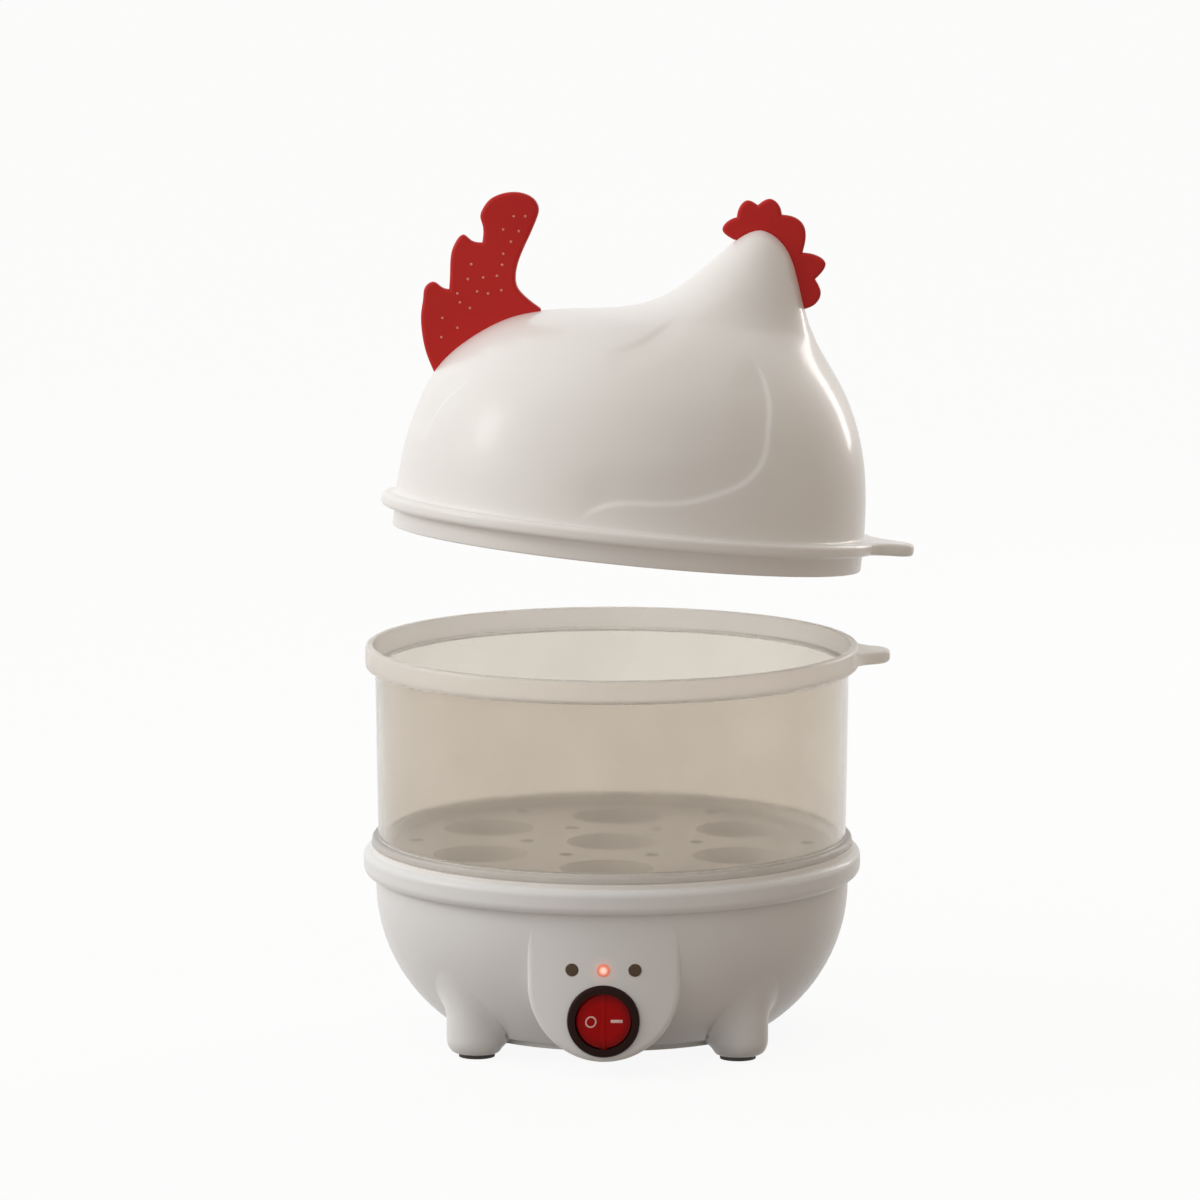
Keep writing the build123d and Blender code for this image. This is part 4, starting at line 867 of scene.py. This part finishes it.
# Rounded skins over the feet that flow into the belly: where both meet, the two distances are eased
belly_ring, belly_level, belly_arc = 23.007, 50.0, 53.993
foot_circle, foot_low, foot_tip, foot_full, foot_round = 59.5, 1.45, 6.8, 9.0, 5.0
foot_outset = 1.0
skin_sink, ease_width, skin_reach = 0.15, 5.0, 17.0
skin_level, skin_top = 6.9, 31.0
skin_margin, belly_margin = 0.1, 0.02
foot_count, search_steps = 4, 32
foot_angles = np.radians(np.arange(0.0, 360.0, 2.5))
toe_levels = foot_low + foot_round * (1 - np.cos(np.linspace(0.0, 0.5 * math.pi, 12)))
foot_levels = np.concatenate((toe_levels, np.linspace(skin_level, skin_top, 56)))


def foot_distance(reach, angle, level):
    """How far a point lies outside the foot, fuller on the side away from the vessel's axis."""
    share = np.clip((level - foot_low) / foot_round, 0.0, 1.0)
    full = foot_full + foot_outset * np.cos(angle)
    return reach - foot_tip - (full - foot_tip) * np.sqrt(1 - (1 - share) ** 2)


def belly_distance(x, y, level):
    """How far a point lies outside a face just inside the belly's round wall."""
    return np.hypot(np.hypot(x, y) - belly_ring, level - belly_level) - belly_arc + skin_sink


vertices, faces = [], []
angle_grid, level_grid = np.meshgrid(foot_angles, foot_levels)
for number in range(foot_count):
    out_angle = math.radians(45 + 360 / foot_count * number)
    heading = np.cos(out_angle + angle_grid), np.sin(out_angle + angle_grid)
    low = np.zeros_like(level_grid)
    high = np.full_like(level_grid, skin_reach)
    for _ in range(search_steps):
        reach = 0.5 * (low + high)
        x = foot_circle * math.cos(out_angle) + reach * heading[0]
        y = foot_circle * math.sin(out_angle) + reach * heading[1]
        foot_gap = foot_distance(reach, angle_grid, level_grid)
        belly_gap = belly_distance(x, y, level_grid)
        ease = np.maximum(ease_width - np.abs(foot_gap - belly_gap), 0.0) / ease_width
        inside = np.minimum(foot_gap, belly_gap) - 0.25 * ease_width * ease ** 2 < 0
        low = np.where(inside, reach, low)
        high = np.where(inside, high, reach)
    shown = (reach < skin_reach - skin_margin) & (belly_gap > belly_margin)
    first = len(vertices)
    vertices.extend(np.stack((x, y, level_grid), axis=2).reshape(-1, 3) * MM)
    turns = len(foot_angles)
    for k in range(len(foot_levels) - 1):
        for c in range(turns):
            d = (c + 1) % turns
            if shown[k, c] and shown[k, d] and shown[k + 1, c] and shown[k + 1, d]:
                faces.append([first + k * turns + c, first + k * turns + d,
                              first + (k + 1) * turns + d, first + (k + 1) * turns + c])
used = sorted({corner for face in faces for corner in face})
place_of = {corner: place for place, corner in enumerate(used)}
foot_edge_angle = 1.2
foot_skins = new_object(
    "foot_skins", [vertices[corner] for corner in used],
    [[place_of[corner] for corner in face] for face in faces],
    Matrix.Identity(4), white_base.material, foot_edge_angle)
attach(foot_skins, "base")


# Floor and surroundings: white to the camera and in reflections. As a light source the surroundings
# change evenly across, neutral and brighter from the left, warm and dimmer from the right:
# for red, green and blue, their level and its change along x, y and z
world_light = (
    (0.70, (-0.46, 0.10, 0.10)),
    (0.655, (-0.50, 0.09, 0.12)),
    (0.61, (-0.54, 0.08, 0.14)),
)


def pale_world():
    """World's tree, its shader as a light source, its white shader and the socket they go to."""
    world = bpy.data.worlds.new("studio")
    scene.world = world
    world.use_nodes = True
    tree = world.node_tree
    ambient = tree.nodes["Background"]
    ambient.inputs["Strength"].default_value = 1.0
    direction = tree.nodes.new("ShaderNodeTexCoord").outputs["Generated"]
    tones = tree.nodes.new("ShaderNodeCombineColor")
    for channel, (level, lean) in zip(tones.inputs, world_light):
        dot = tree.nodes.new("ShaderNodeVectorMath")
        dot.operation = "DOT_PRODUCT"
        dot.inputs[1].default_value = lean
        tree.links.new(direction, dot.inputs[0])
        total = tree.nodes.new("ShaderNodeMath")
        total.operation = "ADD"
        total.inputs[1].default_value = level
        tree.links.new(dot.outputs["Value"], total.inputs[0])
        tree.links.new(total.outputs[0], channel)
    tree.links.new(tones.outputs["Color"], ambient.inputs["Color"])
    white = tree.nodes.new("ShaderNodeBackground")
    white.inputs["Color"].default_value = (1.0, 1.0, 1.0, 1.0)
    white.inputs["Strength"].default_value = 1.0
    return tree, ambient.outputs[0], white.outputs[0], tree.nodes["World Output"].inputs["Surface"]


def seen_ray(tree):
    """1 for camera, glossy and transmission rays, else 0."""
    path = tree.nodes.new("ShaderNodeLightPath")
    first = tree.nodes.new("ShaderNodeMath")
    first.operation = "MAXIMUM"
    tree.links.new(path.outputs["Is Camera Ray"], first.inputs[0])
    tree.links.new(path.outputs["Is Glossy Ray"], first.inputs[1])
    second = tree.nodes.new("ShaderNodeMath")
    second.operation = "MAXIMUM"
    tree.links.new(first.outputs[0], second.inputs[0])
    tree.links.new(path.outputs["Is Transmission Ray"], second.inputs[1])
    return second.outputs[0]


world_tree, plain, white, world_surface = pale_world()
world_mix = world_tree.nodes.new("ShaderNodeMixShader")
world_tree.links.new(seen_ray(world_tree), world_mix.inputs[0])
world_tree.links.new(plain, world_mix.inputs[1])
world_tree.links.new(white, world_mix.inputs[2])
world_tree.links.new(world_mix.outputs[0], world_surface)

floor_half = 7.0
floor_glow = 0.92        # share of plain white in the floor as it is seen
floor_bounce = (0.40, 0.355, 0.325, 1.0)
floor_mesh = bpy.data.meshes.new("floor")
floor_mesh.from_pydata(
    [(-floor_half, -floor_half, 0.0), (floor_half, -floor_half, 0.0),
     (floor_half, floor_half, 0.0), (-floor_half, floor_half, 0.0)],
    [], [(0, 1, 2, 3)])
floor = bpy.data.objects.new("floor", floor_mesh)
scene.collection.objects.link(floor)
floor_tree = Tree("floor")
floor_path = floor_tree.nodes.new("ShaderNodeLightPath")
floor_cloud = floor_tree.range(floor_tree.noise(3.0), 0.0, 1.0)
floor_tone = floor_tree.mix(floor_cloud, (0.86, 0.85, 0.83, 1.0), (0.84, 0.83, 0.81, 1.0))
floor_tree.link(
    floor_tree.mix(floor_path.outputs["Is Diffuse Ray"], floor_tone, floor_bounce),
    floor_tree.shader.inputs["Base Color"],
)
floor_tree.set(Roughness=0.9, Specular_IOR_Level=0.1)
glow = floor_tree.nodes.new("ShaderNodeEmission")
glow.inputs["Color"].default_value = (1.0, 1.0, 1.0, 1.0)
glow.inputs["Strength"].default_value = 1.0
floor_mix = floor_tree.nodes.new("ShaderNodeMixShader")
floor_share = floor_tree.math("MULTIPLY", seen_ray(floor_tree.material.node_tree), floor_glow)
floor_tree.link(floor_share, floor_mix.inputs[0])
floor_tree.link(floor_tree.shader.outputs[0], floor_mix.inputs[1])
floor_tree.link(glow.outputs[0], floor_mix.inputs[2])
floor_tree.link(floor_mix.outputs[0], floor_tree.nodes["Material Output"].inputs["Surface"])
floor_mesh.materials.append(floor_tree.material)


def softbox(name, shape, place, aim, width, height, power, colour):
    """Area lamp at a place, turned towards another."""
    data = bpy.data.lights.new(name, "AREA")
    data.shape = shape
    data.size = width
    data.size_y = height
    data.energy = power
    data.color = colour
    lamp = bpy.data.objects.new(name, data)
    scene.collection.objects.link(lamp)
    lamp.location = place
    lamp.rotation_mode = "QUATERNION"
    lamp.rotation_quaternion = (aim - place).to_track_quat("-Z", "Y")


# Round key lamp from the left, brightest at its middle, and a strip behind on the right
key_place = Vector((-1.42, -0.15, 0.86))
key_aim = Vector((0.0, 0.0, 0.17))
key_colour = (1.0, 1.0, 0.99)
key_discs = ((0.4, 2.6), (0.8, 2.0), (1.2, 1.3), (1.6, 0.8))
for number, (width, power) in enumerate(key_discs):
    softbox(f"key_{number}", "DISK", key_place, key_aim, width, width, power, key_colour)
strip_place = Vector((0.75, 0.95, 0.5))
strip_aim = Vector((0.0, 0.0, 0.22))
strip_width, strip_height, strip_power = 0.14, 0.6, 2.4
strip_colour = (1.0, 0.98, 0.95)
softbox(
    "strip", "RECTANGLE", strip_place, strip_aim, strip_width, strip_height, strip_power, strip_colour)
